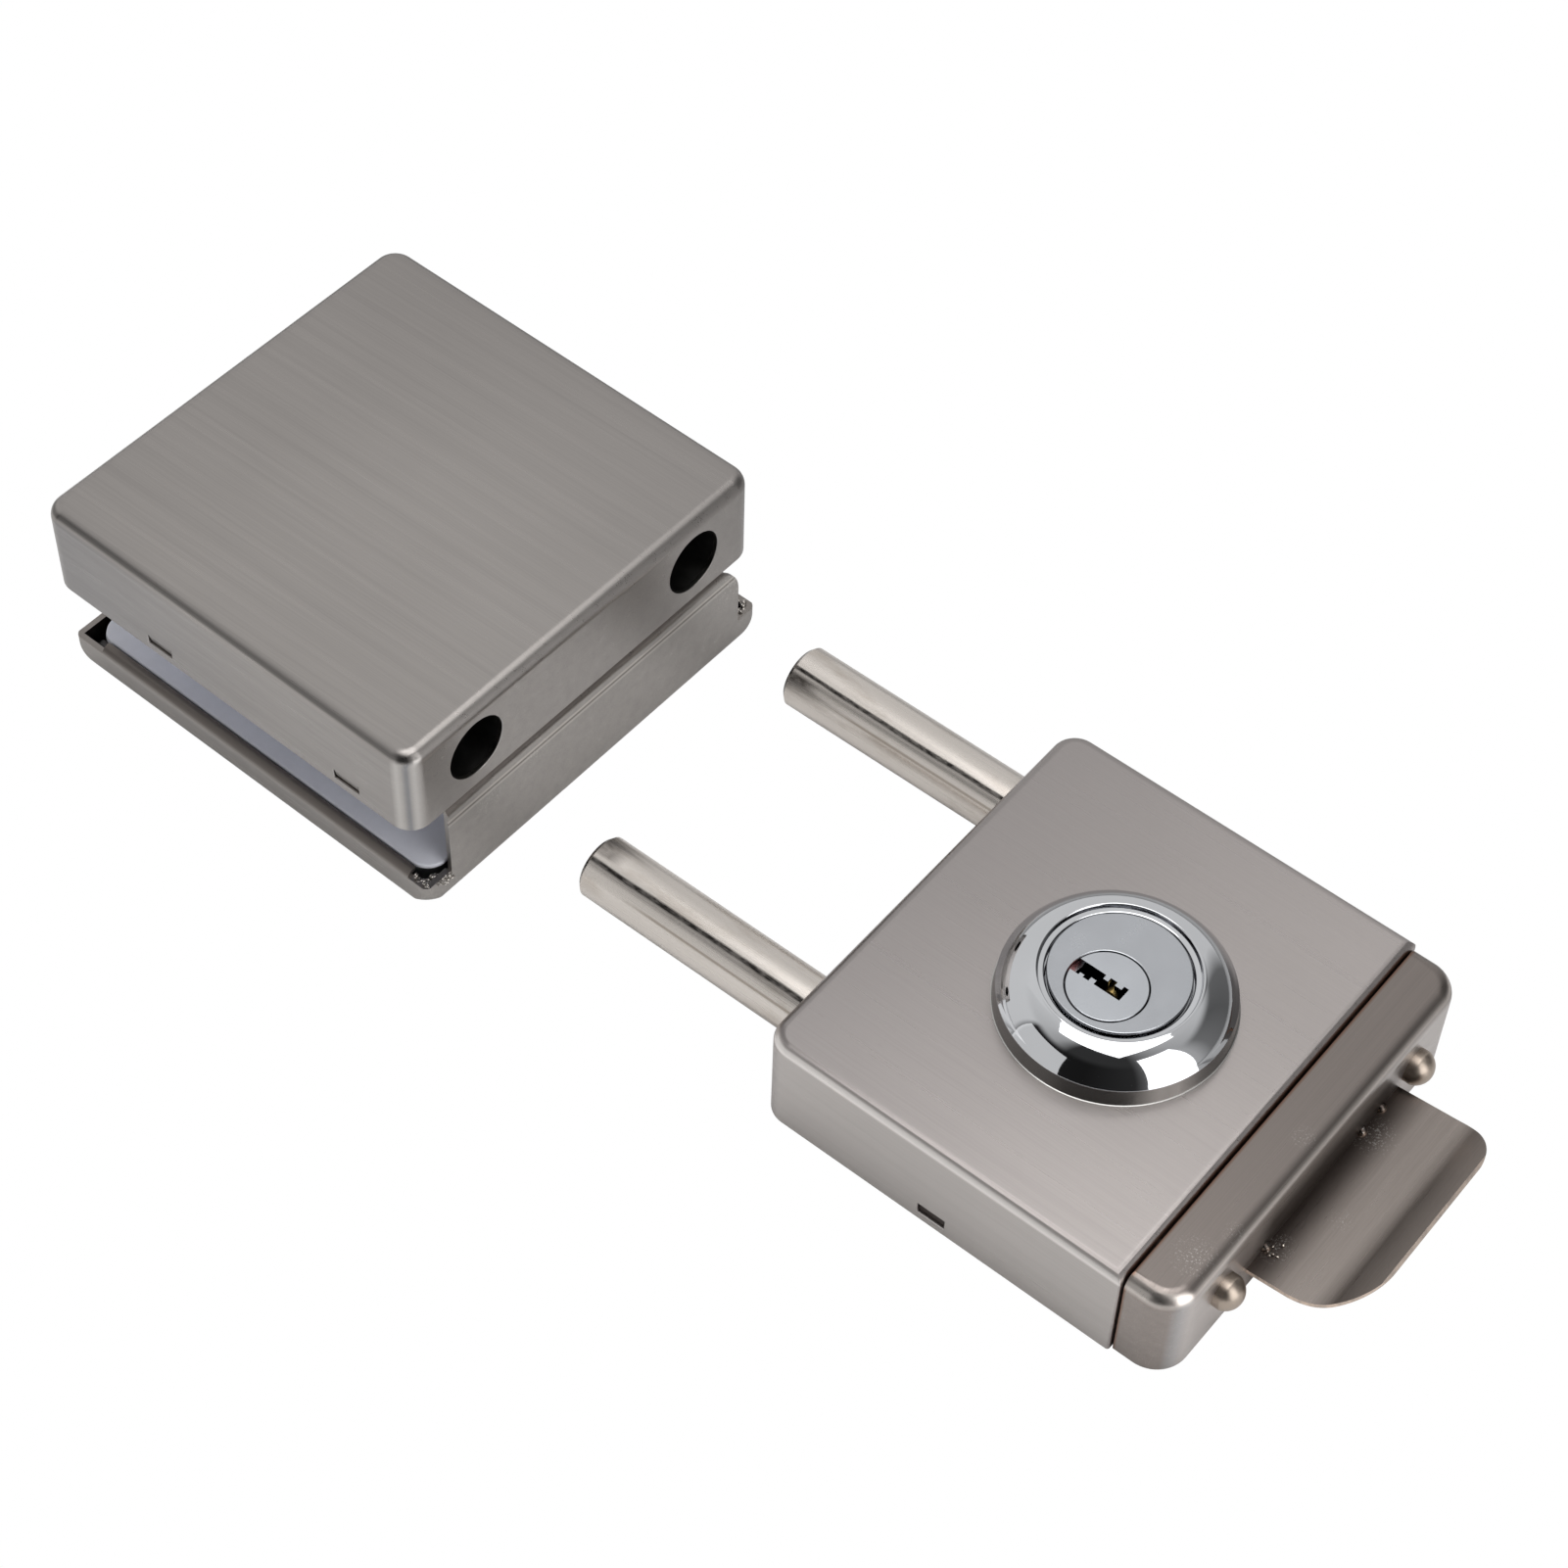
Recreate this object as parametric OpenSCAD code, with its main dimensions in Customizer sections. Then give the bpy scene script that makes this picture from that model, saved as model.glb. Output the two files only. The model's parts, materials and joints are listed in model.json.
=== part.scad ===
// Double glass door lock: a key-locked bolt box with two sliding rods, and the
// strike box that clamps on the other door and takes the rods.
// Millimetres. The origin is on the base plane, under the centre of the cylinder.
// +X runs from the rods towards the finger pull, +Z is away from the glass.

/* [Lock body] */
// How much longer the lock cover is than the travel of the rods inside it
body_room = 25.3; // [23:0.1:39]
// Width of the lock cover across the rods
body_w = 90; // [88:0.5:110]
// Height of the lock cover above the glass
body_h = 22.5; // [22:0.5:26]
// Thickness of the pressed cover sheets
sheet = 1; // [0.8:0.1:1.2]
// Outer radius of the bends along the top edges of the covers
bend_r = 2.2; // [1.6:0.1:3]
// Outer radius of the upright corners at the rod end of the lock cover
body_corner_r = 5; // [3:0.5:6]
// Outer radius of the upright corners next to the end cap
body_seam_r = 0.6; // [0.3:0.1:1]
// Distance from the rod face of the cover to the axis of the cylinder
cylinder_back = 42.5; // [38:0.5:46]
// Clear gap left between pieces that are assembled and stay still
fit_gap = 0.1; // [0.05:0.05:0.2]
// Radial clearance of pieces that turn or slide in each other
run_gap = 0.05; // [0.03:0.01:0.08]
// Clear gap between a moving piece and a fixed one that it doesn't guide
travel_gap = 0.3; // [0.2:0.05:0.5]

/* [Rods] */
// Diameter of a bolt rod
rod_d = 12.5; // [11:0.5:13]
// Distance from the axis of each rod to the side of the lock cover next to it
rod_side = 15.7; // [14:0.1:16.4]
// Height of the rod axes above the glass
rod_z = 12; // [11.5:0.1:12.5]
// How far the rods stand out when thrown, which is also the travel of the pull
throw = 50.7; // [30:0.1:56]
// Chamfer on the free end of a rod
rod_chamfer = 0.8; // [0.3:0.1:1.5]
// Radial room of a rod in the holes of the covers
hole_room = 0.45; // [0.3:0.05:0.8]
// Wall of the plastic guide bushes
bush_wall = 1.2; // [0.8:0.1:1.4]
// Height that a bush collar or a stop ring stands out from the bush or rod
collar_h = 0.7; // [0.5:0.1:0.8]
// Length of a front bush, from the chassis wall inwards
bush_l = 10.4; // [8:0.2:12]
// Thickness of the collar of a bush
collar_t = 1.5; // [1:0.1:2]
// Thickness of the stop ring on each rod
stop_t = 2; // [1.5:0.1:3]
// Gap from the inner end of the front bush to the stop ring when thrown
stop_gap = 1.5; // [1:0.1:3]

/* [End cap and finger pull] */
// Gap between the lock cover and the end cap when thrown
cap_gap = 0.3; // [0.3:0.1:1.5]
// Depth of the end cap along the rods
cap_d = 10.7; // [9.5:0.1:14]
// How far each side of the end cap stands back from the side of the lock cover
cap_inset = 0.7; // [0.5:0.1:2]
// How far the end cap's top lies below the top of the lock cover
cap_drop = 0.2; // [0:0.1:1]
// Clearance of the end cap over the glass
cap_lift = 0.3; // [0.2:0.1:1]
// Sheet thickness of the end cap
cap_sheet = 1.1; // [0.8:0.1:1.5]
// Outer radius of the upright corners of the end cap
cap_corner_r = 6.5; // [4:0.5:7]
// Outer radius of the bends along the top edges of the end cap
cap_bend_r = 3.2; // [1.8:0.1:3.3]
// Thickness of the bar inside the end cap that ties the rods together
bridge_t = 6; // [4:0.5:7]
// Height of that bar
bridge_h = 14; // [12:0.5:14]
// Diameter of the rivet shanks
rivet_d = 5; // [4:0.5:6]
// Diameter of the dome heads of the rivets
rivet_head_d = 6.8; // [6.4:0.1:9]
// Height of the straight rim of a rivet head
rivet_rim = 1.7; // [0.5:0.1:2.5]
// Height of the dome on that rim
rivet_dome = 2.3; // [1.5:0.1:3]
// Depth of the rivet's hole in the end of a rod
rivet_depth = 10; // [6:1:12]
// Width of the finger pull across the rods
pull_w = 47; // [35:0.5:48]
// Offset of the finger pull from the middle of the end cap
pull_shift = 1.9; // [-3:0.1:3]
// Tilt of the welded finger pull, in degrees
pull_tilt = 1.5; // [0:0.5:3]
// Height of the upper face of the finger pull where it is welded on
pull_z = 8.8; // [8:0.1:12]
// Thickness of the finger pull
pull_t = 1; // [0.8:0.1:1.5]
// Length of the flat root of the finger pull
pull_root = 12.4; // [8:0.1:15]
// Angle at which the root rises from the end cap
pull_rise = 6; // [0:0.5:10]
// Radius of the scoop between root and lip of the finger pull
pull_scoop_r = 9; // [6:0.5:14]
// Angle at which the lip stands up
pull_angle = 30; // [20:1:40]
// Length of the straight lip beyond the scoop
pull_lip = 5.2; // [2:0.1:7]
// Radius of the outer corner of the finger pull on the side of the upper rod
pull_corner_r = 8; // [5:0.5:12]
// Radius of its outer corner on the side of the lower rod
pull_low_r = 13; // [5:0.5:15]
// Radius of a spot of weld along the root of the finger pull
weld_r = 1.1; // [0.6:0.1:1.5]

/* [Cylinder and rosette] */
// Height of the face of the cylinder above the glass
face_z = 31.2; // [30.5:0.1:32]
// Radius of the head of the cylinder
head_r = 12.75; // [12.5:0.05:13]
// Thickness of the head of the cylinder
head_t = 2; // [1.5:0.1:2.5]
// Step from the head to the body of the cylinder
head_step = 0.75; // [0.5:0.05:0.8]
// Height of the lower end of the cylinder body above the glass
cylinder_z = 12.5; // [12.3:0.1:13]
// Offset of the plug from the axis of the cylinder
plug_offset = 3.75; // [3.5:0.05:3.9]
// Radius of the visible head of the plug
plug_head_r = 7.31; // [7.2:0.01:7.4]
// Radius of the body of the plug
plug_r = 6.6; // [6.4:0.05:6.8]
// Depth from the face to the blind end of the keyway
keyway_depth = 17; // [16:0.1:17.5]
// Distance from the plug's axis to the closed end of the keyway
keyway_end = 3.3; // [2.5:0.1:3.5]
// Distance from the plug's axis to the upper side of the keyway
keyway_up = 1.8; // [1.5:0.05:2]
// Distance from the plug's axis to the lower side of the keyway
keyway_down = 1.15; // [0.9:0.05:1.3]
// Radius of a tumbler pin
pin_r = 1.2; // [1:0.05:1.25]
// Number of tumbler pins
pin_count = 5; // [3:1:5]
// Distance between the pins along the cylinder
pin_pitch = 3.2; // [2.8:0.05:3.2]
// Height of the lowest pin above the lower end of the cylinder body
pin_rise = 2.7; // [2.4:0.1:3]
// Distance from the plug's axis plane to the pins' plane
pin_side = 0.6; // [0:0.1:0.8]
// Length of a driver pin
driver_l = 3.8; // [3:0.1:4]
// Thickness of the discs that close the pin bores
pin_cap_t = 1; // [0.8:0.1:1.5]
// Radius of the rosette at the cover
rosette_r = 22; // [20:0.1:22.4]
// Radius of the rosette at the top of its upright edge
rosette_shoulder_r = 21; // [19:0.1:21.5]
// Height of the upright edge of the rosette
rosette_edge_h = 3.9; // [3:0.1:5]
// Radius of the rim that surrounds the cylinder face
rosette_rim_r = 14.5; // [14:0.1:15]
// Height of that rim above the face of the cylinder
rosette_rim_h = 0.3; // [0:0.1:1]
// Radius of the dome's curve between the upright edge and the rim
dome_r = 9.5; // [7:0.5:14]
// Radial gap between the cylinder face and the rosette
face_gap = 0.75; // [0.4:0.05:0.9]
// Height of the hexagon nut under the cover
nut_h = 3; // [2.5:0.1:4]
// Distance from the centre to a corner of that nut
nut_r = 15.5; // [14.5:0.1:17]

/* [Locking cam] */
// Thickness of the cam that the plug turns
cam_t = 3; // [2:0.1:3.2]
// Width of the cam's arm
cam_w = 7.8; // [6:0.1:9]
// Radius of the cam's hub
cam_hub_r = 6; // [5:0.1:6.5]
// Width across the flats of the square tail that carries the cam
tail_w = 6; // [5:0.1:7]
// Depth of the slots in the lower rod that the cam turns into
notch_depth = 4.3; // [3:0.1:5]
// Radius of the cam screw's shank
cam_screw_r = 1.6; // [1.2:0.1:2]
// Height of the cam screw's head
cam_screw_h = 2.2; // [1.5:0.1:2.6]

/* [Chassis and glass pad] */
// Thickness of the glass pad under the lock
pad_t = 1.5; // [1:0.1:2]
// Margin from the cover's outline to the glass pad
pad_margin = 4.5; // [3:0.5:8]
// Thickness of the chassis floor
floor_t = 2; // [1.5:0.1:2.2]
// Thickness of the upright chassis walls that hold the bushes
wall_t = 2.5; // [2:0.1:3]
// Distance from the cylinder's axis to each threaded fixing hole
fixing_x = 26; // [24:0.5:28]
// Radius of the threaded fixing holes, cored for an M5 screw
fixing_r = 2.1; // [1.8:0.1:2.5]
// Radius of the bosses round the fixing holes
fixing_boss_r = 4.5; // [3.5:0.1:5]
// Height of the bosses above the chassis floor
fixing_boss_h = 4.5; // [3:0.1:5]
// Length of the clip slots in the lock cover
slot_l = 5.8; // [4:0.1:8]
// Height of the clip slots
slot_h = 2.5; // [1.5:0.1:3]
// Height of the lower edge of the clip slots
slot_z = 2; // [1.8:0.1:2.4]

/* [Strike box] */
// Place of the strike box along the rods, from the lock's origin
strike_x = -160.9; // [-200:0.1:-150]
// Place of the strike box across the rods
strike_y = -6.3; // [-10:0.1:10]
// Angle at which the strike box stands, in degrees
strike_turn = -1.3; // [-2:0.1:2]
// Length and width of the strike cover
strike_w = 93.1; // [90:0.1:110]
// Height of the top of the strike cover
strike_h = 45.9; // [45.5:0.1:50]
// Height of the lower edge of the strike cover
strike_cover_z = 25.5; // [25:0.1:27.3]
// Height of the axes of the rod sockets
socket_z = 35.4; // [35.4:0.1:35.6]
// How much deeper the rod sockets are than the travel of the rods
socket_room = 1; // [0.5:0.1:4]
// Wall of the rod sockets
socket_wall = 0.7; // [0.5:0.1:1]
// Outer radius of the upright corners of the strike cover
strike_corner_r = 4.6; // [4:0.1:8]
// Outer radius of the bends along the top edges of the strike cover
strike_bend_r = 2.8; // [1.8:0.1:3]
// How far each end of the back shell stands out beyond the strike cover
back_reach = 0.15; // [0:0.05:0.5]
// How much narrower each side of the back shell is than the strike cover
back_inset = 0.4; // [0:0.1:1]
// How far the back shell sits off the middle of the strike cover
back_shift = 1.7; // [-1.8:0.1:1.8]
// Height of the rim of the back shell
rim_h = 8.7; // [8.2:0.1:9.2]
// Width of the lip that turns in along the rim
rim_lip = 2.3; // [2.2:0.1:3]
// Outer radius of the bend round the floor of the back shell
floor_bend_r = 3.5; // [2:0.1:3.8]
// Outer radius of the upright corners of the back shell
back_corner_r = 2; // [1.5:0.5:4]
// Distance from the sides of the back shell to the middle of its round floor corners
crown_at = 6; // [5.5:0.5:7]
// Radius of those floor corners, from the side
crown_r = 6.4; // [6.2:0.1:7.2]
// Length of the open corners where the lips stop, away from the flange
corner_open = 7.6; // [6:0.2:10]
// Length of the open corners beside the flange
corner_slit = 5; // [4:0.2:7]
// How much the open corners are cut down from the rim
corner_drop = 1.3; // [1:0.1:2]
// Width of the flange that closes the glass mouth
flange_w = 80; // [70:0.2:84]
// How far the flange sits off the middle of the back shell
flange_shift = 0.5; // [-1:0.1:1]
// How far the flange stops below the strike cover
flange_gap = 0.3; // [0.2:0.1:1]
// Radius of the flange's upper corner on the side of the upper rod
flange_corner_r = 8; // [2:0.5:9]
// Radius of its upper corner on the side of the lower rod
flange_low_r = 1; // [0.5:0.1:6]
// Thickness of the bracket's plates and web
bracket_t = 3; // [2.5:0.1:3.2]
// Thickness of the bracket plate that carries the sockets
shelf_t = 2.5; // [2:0.1:2.5]
// Width of the bracket's web
web_w = 56; // [40:1:60]
// Gap between the lips of the back shell and the bracket plate inside them
plate_gap = 0.3; // [0.3:0.1:1]
// How much wider that gap is at the far end
plate_back = 0.8; // [0:0.1:1.5]
// How far the bracket plate shows round the pad
pad_step = 0.2; // [0.2:0.1:2]
// Thickness of the two strike pads that hold the glass
strike_pad_t = 1; // [1:0.1:2]
// Thickness of the clamp plate
clamp_t = 2.4; // [2:0.1:2.6]
// Travel of the clamp plate
clamp_travel = 4.5; // [3:0.1:6]
// Radius of a clamp screw
clamp_screw_r = 3; // [2.5:0.5:4]
// Length of a clamp screw
clamp_screw_l = 11; // [9:0.5:12]
// Distance from the clamp screws to the sides of the strike cover, along the rods
clamp_side_x = 18.55; // [14.55:0.1:26.55]
// Distance from the clamp screws to the sides of the strike cover, across the rods
clamp_side_y = 33.55; // [31.55:0.1:35.55]
// Distance from the middle of the strike to the posts under its bracket plate
boss_at = 30; // [24:1:34]
// Radius of those posts
boss_r = 4; // [3:0.5:6]
// Distance from the middle of the strike to the snap tongues at the far end
tongue_far = 17.4; // [10:0.1:24]
// Distance from the middle of the strike to the snap tongues at the socket end
tongue_near = 30.4; // [20:0.1:31]
// Length of a snap tongue in the strike cover
tongue_l = 6.2; // [4:0.1:8]
// Height of a snap tongue
tongue_h = 2.2; // [1.5:0.1:2.5]
// Height of a snap tongue's free edge above the lower edge of the cover
tongue_rise = 1.8; // [1.4:0.1:2]
// How far a snap tongue's free edge is pushed in
tongue_push = 0.45; // [0.3:0.05:1]
// Width of the slit round a snap tongue
tongue_slit = 0.25; // [0.15:0.05:0.4]

/* [Hidden] */
$fn = 64;

// Long enough to cut through anything it meets
far = 400;
// Overlap that keeps joined shapes of one piece from meeting edge to edge
bite = 0.5;

// Faces of the lock body along X
rod_face = -cylinder_back;
body_l = throw + body_room;
cap_face = rod_face + body_l;
body_mid = rod_face + body_l / 2;
cover_in = body_w / 2 - sheet;
cover_top = body_h - sheet;

// Rods, bushes and stops
rod_r = rod_d / 2;
rod_y = body_w / 2 - rod_side;
rod_hole_r = rod_r + hole_room;
bush_bore_r = rod_r + run_gap;
bush_r = bush_bore_r + bush_wall;
collar_r = bush_r + collar_h;
wall_front = rod_face + sheet + fit_gap;
wall_rear = cap_face - sheet - fit_gap;
stop_x = wall_front + bush_l + stop_gap;
rear_bush_x = stop_x + stop_t + throw + travel_gap;

// End cap
cap_start = cap_face + cap_gap;
cap_end = cap_start + cap_d;
bridge_x = cap_end - cap_sheet - bridge_t;
bridge_w = 2 * rod_y + rod_d + 2 * sheet;
cap_w = body_w - 2 * cap_inset;
scoop_x = cap_end + pull_root * cos(pull_rise) - pull_scoop_r * sin(pull_rise);
scoop_z = pull_z + pull_root * sin(pull_rise) + pull_scoop_r * cos(pull_rise);

// Cylinder
cylinder_r = head_r - head_step;
head_z = face_z - head_t;
plug_bore_r = plug_r + run_gap;
plug_head_bore_r = plug_head_r + run_gap;
pin_bore_r = pin_r + run_gap;
plug_z = cylinder_z - bite;
cam_z = plug_z - cam_t;
first_pin_z = cylinder_z + pin_rise;
driver_y = plug_bore_r + travel_gap / 4;
shear_y = sqrt(pow(plug_r, 2) - pow(pin_side + pin_r, 2)) - run_gap;

// Cam and the notch that it drops into
notch_y = rod_y - rod_r + notch_depth;
cam_reach = notch_y - travel_gap - plug_offset;
cam_tip_r = cam_w / 2;
tip_centre = cam_reach - cam_tip_r;
rod_reach = rod_y - rod_r - plug_offset - cam_tip_r;
notch_far = sqrt(pow(tip_centre, 2) - pow(rod_reach, 2)) + cam_tip_r / 2;
notch_near = cam_tip_r + travel_gap;
notch_high = plug_z + travel_gap;

// Strike
half = strike_w / 2;
socket_depth = throw + socket_room;
back_x = half + back_reach;
back_w = strike_w - 2 * back_inset;
crown_reach = (crown_at - back_corner_r) * sqrt(2) + back_corner_r + fit_gap;
shelf_z = socket_z - rod_hole_r - socket_wall - shelf_t;
shelf_top = shelf_z + shelf_t;
web_x = back_x - bend_r - fit_gap - bracket_t;
plate_z = rim_h - sheet - fit_gap - bracket_t;
plate_top = plate_z + bracket_t;
flange_z = strike_cover_z - flange_gap;
clamp_z = shelf_z - fit_gap - clamp_t;
plate_w = back_w - 2 * rim_lip - 2 * plate_gap;
plate_x = -back_x + rim_lip + plate_gap + plate_back;
tongue_x = [-tongue_far, tongue_near];
tongue_z = strike_cover_z + tongue_rise;
clamp_screw_x = half - clamp_side_x;
clamp_screw_y = half - clamp_side_y;
screws_x = [-clamp_screw_x, clamp_screw_x];
screws_y = [-clamp_screw_y, clamp_screw_y];

// Number of flats that the scoop of the finger pull is made of
scoop_steps = 12;

// A flat plate outline with its own corner radius at each end
module outline(x1, x2, w, r1, r2) {
    for (side = [-1, 1]) {
        translate([x1 + r1, side * (w / 2 - r1)]) circle(r1);
        translate([x2 - r2, side * (w / 2 - r2)]) circle(r2);
    }
    translate([x1 + r1, -w / 2]) square([x2 - x1 - r1 - r2, w]);
    translate([x1, -w / 2 + r1]) square([r1 + bite, w - 2 * r1]);
    translate([x2 - r2 - bite, -w / 2 + r2]) square([r2 + bite, w - 2 * r2]);
}

// A side view from a to b and from z1 to z2, with the upper corners rounded
module side_view(a, b, z1, z2, ra, rb) {
    translate([a + ra, z2 - ra]) circle(ra);
    translate([b - rb, z2 - rb]) circle(rb);
    translate([a + ra, z1]) square([b - a - ra - rb, z2 - z1]);
    translate([a, z1]) square([ra + bite, z2 - z1 - ra]);
    translate([b - rb - bite, z1]) square([rb + bite, z2 - z1 - rb]);
}

// Turns a side view in X and Z into a solid that runs along Y
module along_y(w) {
    translate([0, w / 2, 0]) rotate([90, 0, 0]) linear_extrude(w) children();
}

// Turns a side view in Y and Z into a solid that runs along X
module along_x(x1, x2) {
    translate([x1, 0, 0]) rotate([90, 0, 90]) linear_extrude(x2 - x1) children();
}

// What a corner loses where the bend at the top runs round it
module corner_cut(x, y, turn, r, bend, top) {
    translate([x, y, top - bend]) rotate([0, 0, turn]) difference() {
        cube([r + bite, r + bite, bend + bite]);
        rotate_extrude() {
            translate([0, -bite]) square([r, bite]);
            square([r - bend, bend]);
            intersection() {
                translate([r - bend, 0]) circle(bend);
                translate([0, -bite]) square([r, bend + 2 * bite]);
            }
        }
    }
}

// Both corners at one end of a cover, where they are round enough to carry the bend
module corner_cuts(x, w, turn, r, bend, top) {
    if (r > bend) {
        corner_cut(x, w / 2 - r, turn, r, bend, top);
        mirror([0, 1, 0]) corner_cut(x, w / 2 - r, turn, r, bend, top);
    }
}

// The solid that a pressed cover is made round
module cover_form(x1, x2, w, z1, z2, r1, r2, bend, bend_end) {
    difference() {
        intersection() {
            translate([0, 0, z1]) linear_extrude(z2 - z1) outline(x1, x2, w, r1, r2);
            along_x(x1, x2) side_view(-w / 2, w / 2, z1, z2, bend, bend);
            along_y(w) side_view(x1, x2, z1, z2, bend, bend_end);
        }
        corner_cuts(x1 + r1, w, 90, r1, bend, z2);
        corner_cuts(x2 - r2, w, 0, r2, bend_end, z2);
    }
}

// A cylinder along X
module bar(r, x1, x2) {
    translate([x1, 0, 0]) rotate([0, 90, 0]) cylinder(h = x2 - x1, r = r);
}

// Puts a piece on the axis of the lower or the upper rod
module at_rod(side) {
    translate([0, side * rod_y, rod_z]) children();
}

// Puts a piece on the axis of the plug
module at_plug() {
    translate([0, -plug_offset, 0]) children();
}

// Puts a piece of the strike where the strike stands
module at_strike() {
    translate([strike_x, strike_y, 0]) rotate([0, 0, strike_turn]) children();
}

// Repeats a piece at each tumbler pin, with +Z running away from the plug's axis
module each_pin() {
    for (i = [0 : pin_count - 1])
        translate([pin_side, -plug_offset, first_pin_z + i * pin_pitch])
            rotate([-90, 0, 0]) children();
}

module lock_cover() {
    color([0.68, 0.66, 0.64]) difference() {
        cover_form(rod_face, cap_face, body_w, 0, body_h,
            body_corner_r, body_seam_r, bend_r, bend_r);
        translate([0, 0, -bite])
            cover_form(rod_face + sheet, cap_face - sheet, body_w - 2 * sheet, 0,
                cover_top + bite, body_corner_r - sheet, body_seam_r / 2,
                bend_r - sheet, bend_r - sheet);
        translate([0, 0, cover_top - bite]) cylinder(h = sheet + 2 * bite, r = cylinder_r + fit_gap);
        for (side = [-1, 1]) {
            at_rod(side) bar(rod_hole_r, rod_face - bite, cap_face + bite);
            clip_slot(side);
        }
    }
}

module clip_slot(side) {
    translate([body_mid - slot_l / 2, side * (cover_in + sheet / 2) - sheet, slot_z])
        cube([slot_l, 2 * sheet, slot_h]);
}

module lock_chassis() {
    floor_w = body_w - 2 * sheet - 2 * fit_gap;
    wall_w = floor_w - 2 * body_corner_r;
    wall_h = cover_top - sheet - pad_t;
    tab_l = 2.5 * slot_l;
    nose = slot_l - 2 * fit_gap;
    nose_out = 0.7 * sheet;
    color([0.62, 0.63, 0.65]) difference() {
        union() {
            translate([0, 0, pad_t]) linear_extrude(floor_t)
                outline(wall_front, wall_rear, floor_w, body_corner_r, body_seam_r);
            for (x = [wall_front, wall_rear - wall_t])
                translate([x, -wall_w / 2, pad_t]) cube([wall_t, wall_w, wall_h]);
            for (side = [-1, 1]) {
                translate([side * fixing_x, 0, pad_t])
                    cylinder(h = floor_t + fixing_boss_h, r = fixing_boss_r);
                translate([body_mid - tab_l / 2, side * (floor_w - wall_t) / 2 - wall_t / 2, pad_t])
                    cube([tab_l, wall_t, floor_t + 2 * slot_h]);
                translate([body_mid - nose / 2, side * floor_w / 2 - nose_out, slot_z + fit_gap])
                    cube([nose, 2 * nose_out, slot_h - 2 * fit_gap]);
            }
        }
        for (side = [-1, 1]) {
            at_rod(side) bar(bush_r, wall_front - bite, wall_rear + bite);
            translate([side * fixing_x, 0, 0]) cylinder(h = body_h / 2, r = fixing_r);
        }
    }
}

module lock_glass_pad() {
    pad_hole_r = fixing_r + 1;
    color([0.53, 0.54, 0.62]) difference() {
        linear_extrude(pad_t)
            outline(rod_face + pad_margin, cap_face - pad_margin, body_w - 2 * pad_margin,
                strike_corner_r, strike_corner_r);
        for (side = [-1, 1])
            translate([side * fixing_x, 0, -bite]) cylinder(h = pad_t + 2 * bite, r = pad_hole_r);
    }
}

// A plastic bush with a collar against the inside of its chassis wall
module bush(side, x1, x2, collar_x) {
    color([0.9, 0.9, 0.86]) at_rod(side) difference() {
        union() {
            bar(bush_r, x1, x2);
            bar(collar_r, collar_x, collar_x + collar_t);
        }
        bar(bush_bore_r, x1 - bite, x2 + bite);
    }
}

module front_bush(side) {
    bush(side, wall_front, wall_front + bush_l, wall_front + wall_t);
}

module rear_bush(side) {
    bush(side, rear_bush_x, wall_rear, wall_rear - wall_t - collar_t);
}

// Half the section of the rosette, from its bore outwards
module rosette_section() {
    top = face_z + rosette_rim_h;
    shoulder = body_h + rosette_edge_h;
    bore = cylinder_r + fit_gap;
    rise = top - shoulder;
    run = rosette_shoulder_r - rosette_rim_r;
    chord = norm([run, rise]);
    depth = sqrt(pow(dome_r, 2) - pow(chord / 2, 2));
    cx = (rosette_shoulder_r + rosette_rim_r) / 2 - depth * rise / chord;
    cz = (shoulder + top) / 2 - depth * run / chord;
    recess_r = head_r + face_gap;
    chamfer = rosette_rim_r - recess_r;
    difference() {
        union() {
            polygon([[bore, body_h], [rosette_r, body_h], [rosette_r, body_h + sheet / 2],
                [rosette_shoulder_r, shoulder], [rosette_rim_r, top], [bore, top]]);
            intersection() {
                translate([cx, cz]) circle(dome_r);
                translate([rosette_rim_r, shoulder]) square([run, far]);
            }
        }
        polygon([[0, head_z], [recess_r, head_z], [recess_r, top - chamfer],
            [rosette_rim_r, top], [rosette_rim_r, top + far], [0, top + far]]);
    }
}

module rosette() {
    color([0.8, 0.82, 0.84]) rotate_extrude($fn = 96) rosette_section();
}

module cylinder_body() {
    color([0.75, 0.77, 0.79]) difference() {
        union() {
            translate([0, 0, cylinder_z]) cylinder(h = face_z - cylinder_z, r = cylinder_r);
            translate([0, 0, head_z]) cylinder(h = head_t, r = head_r);
        }
        at_plug() {
            translate([0, 0, cylinder_z - bite]) cylinder(h = face_z, r = plug_bore_r);
            translate([0, 0, head_z]) cylinder(h = face_z, r = plug_head_bore_r);
        }
        each_pin() cylinder(h = cylinder_r + plug_offset + bite, r = pin_bore_r);
    }
}

module cylinder_nut() {
    color([0.7, 0.68, 0.6]) translate([0, 0, cover_top - nut_h]) difference() {
        cylinder(h = nut_h, r = nut_r, $fn = 6);
        translate([0, 0, -bite]) cylinder(h = nut_h + 2 * bite, r = cylinder_r);
    }
}

// Where a pin bore comes out of the cylinder body, from the plug's axis
function bore_mouth() = sqrt(pow(cylinder_r, 2) - pow(pin_side + pin_bore_r, 2)) + plug_offset;

module driver_pins() {
    color([0.78, 0.66, 0.36])
        each_pin() translate([0, 0, driver_y]) cylinder(h = driver_l, r = pin_r);
}

module pin_springs() {
    spring_z = driver_y + driver_l;
    color([0.6, 0.6, 0.6])
        each_pin() translate([0, 0, spring_z])
            cylinder(h = bore_mouth() - pin_cap_t - spring_z, r = pin_r);
}

module pin_caps() {
    color([0.78, 0.66, 0.36])
        each_pin() translate([0, 0, bore_mouth() - pin_cap_t]) cylinder(h = pin_cap_t, r = pin_bore_r);
}

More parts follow.
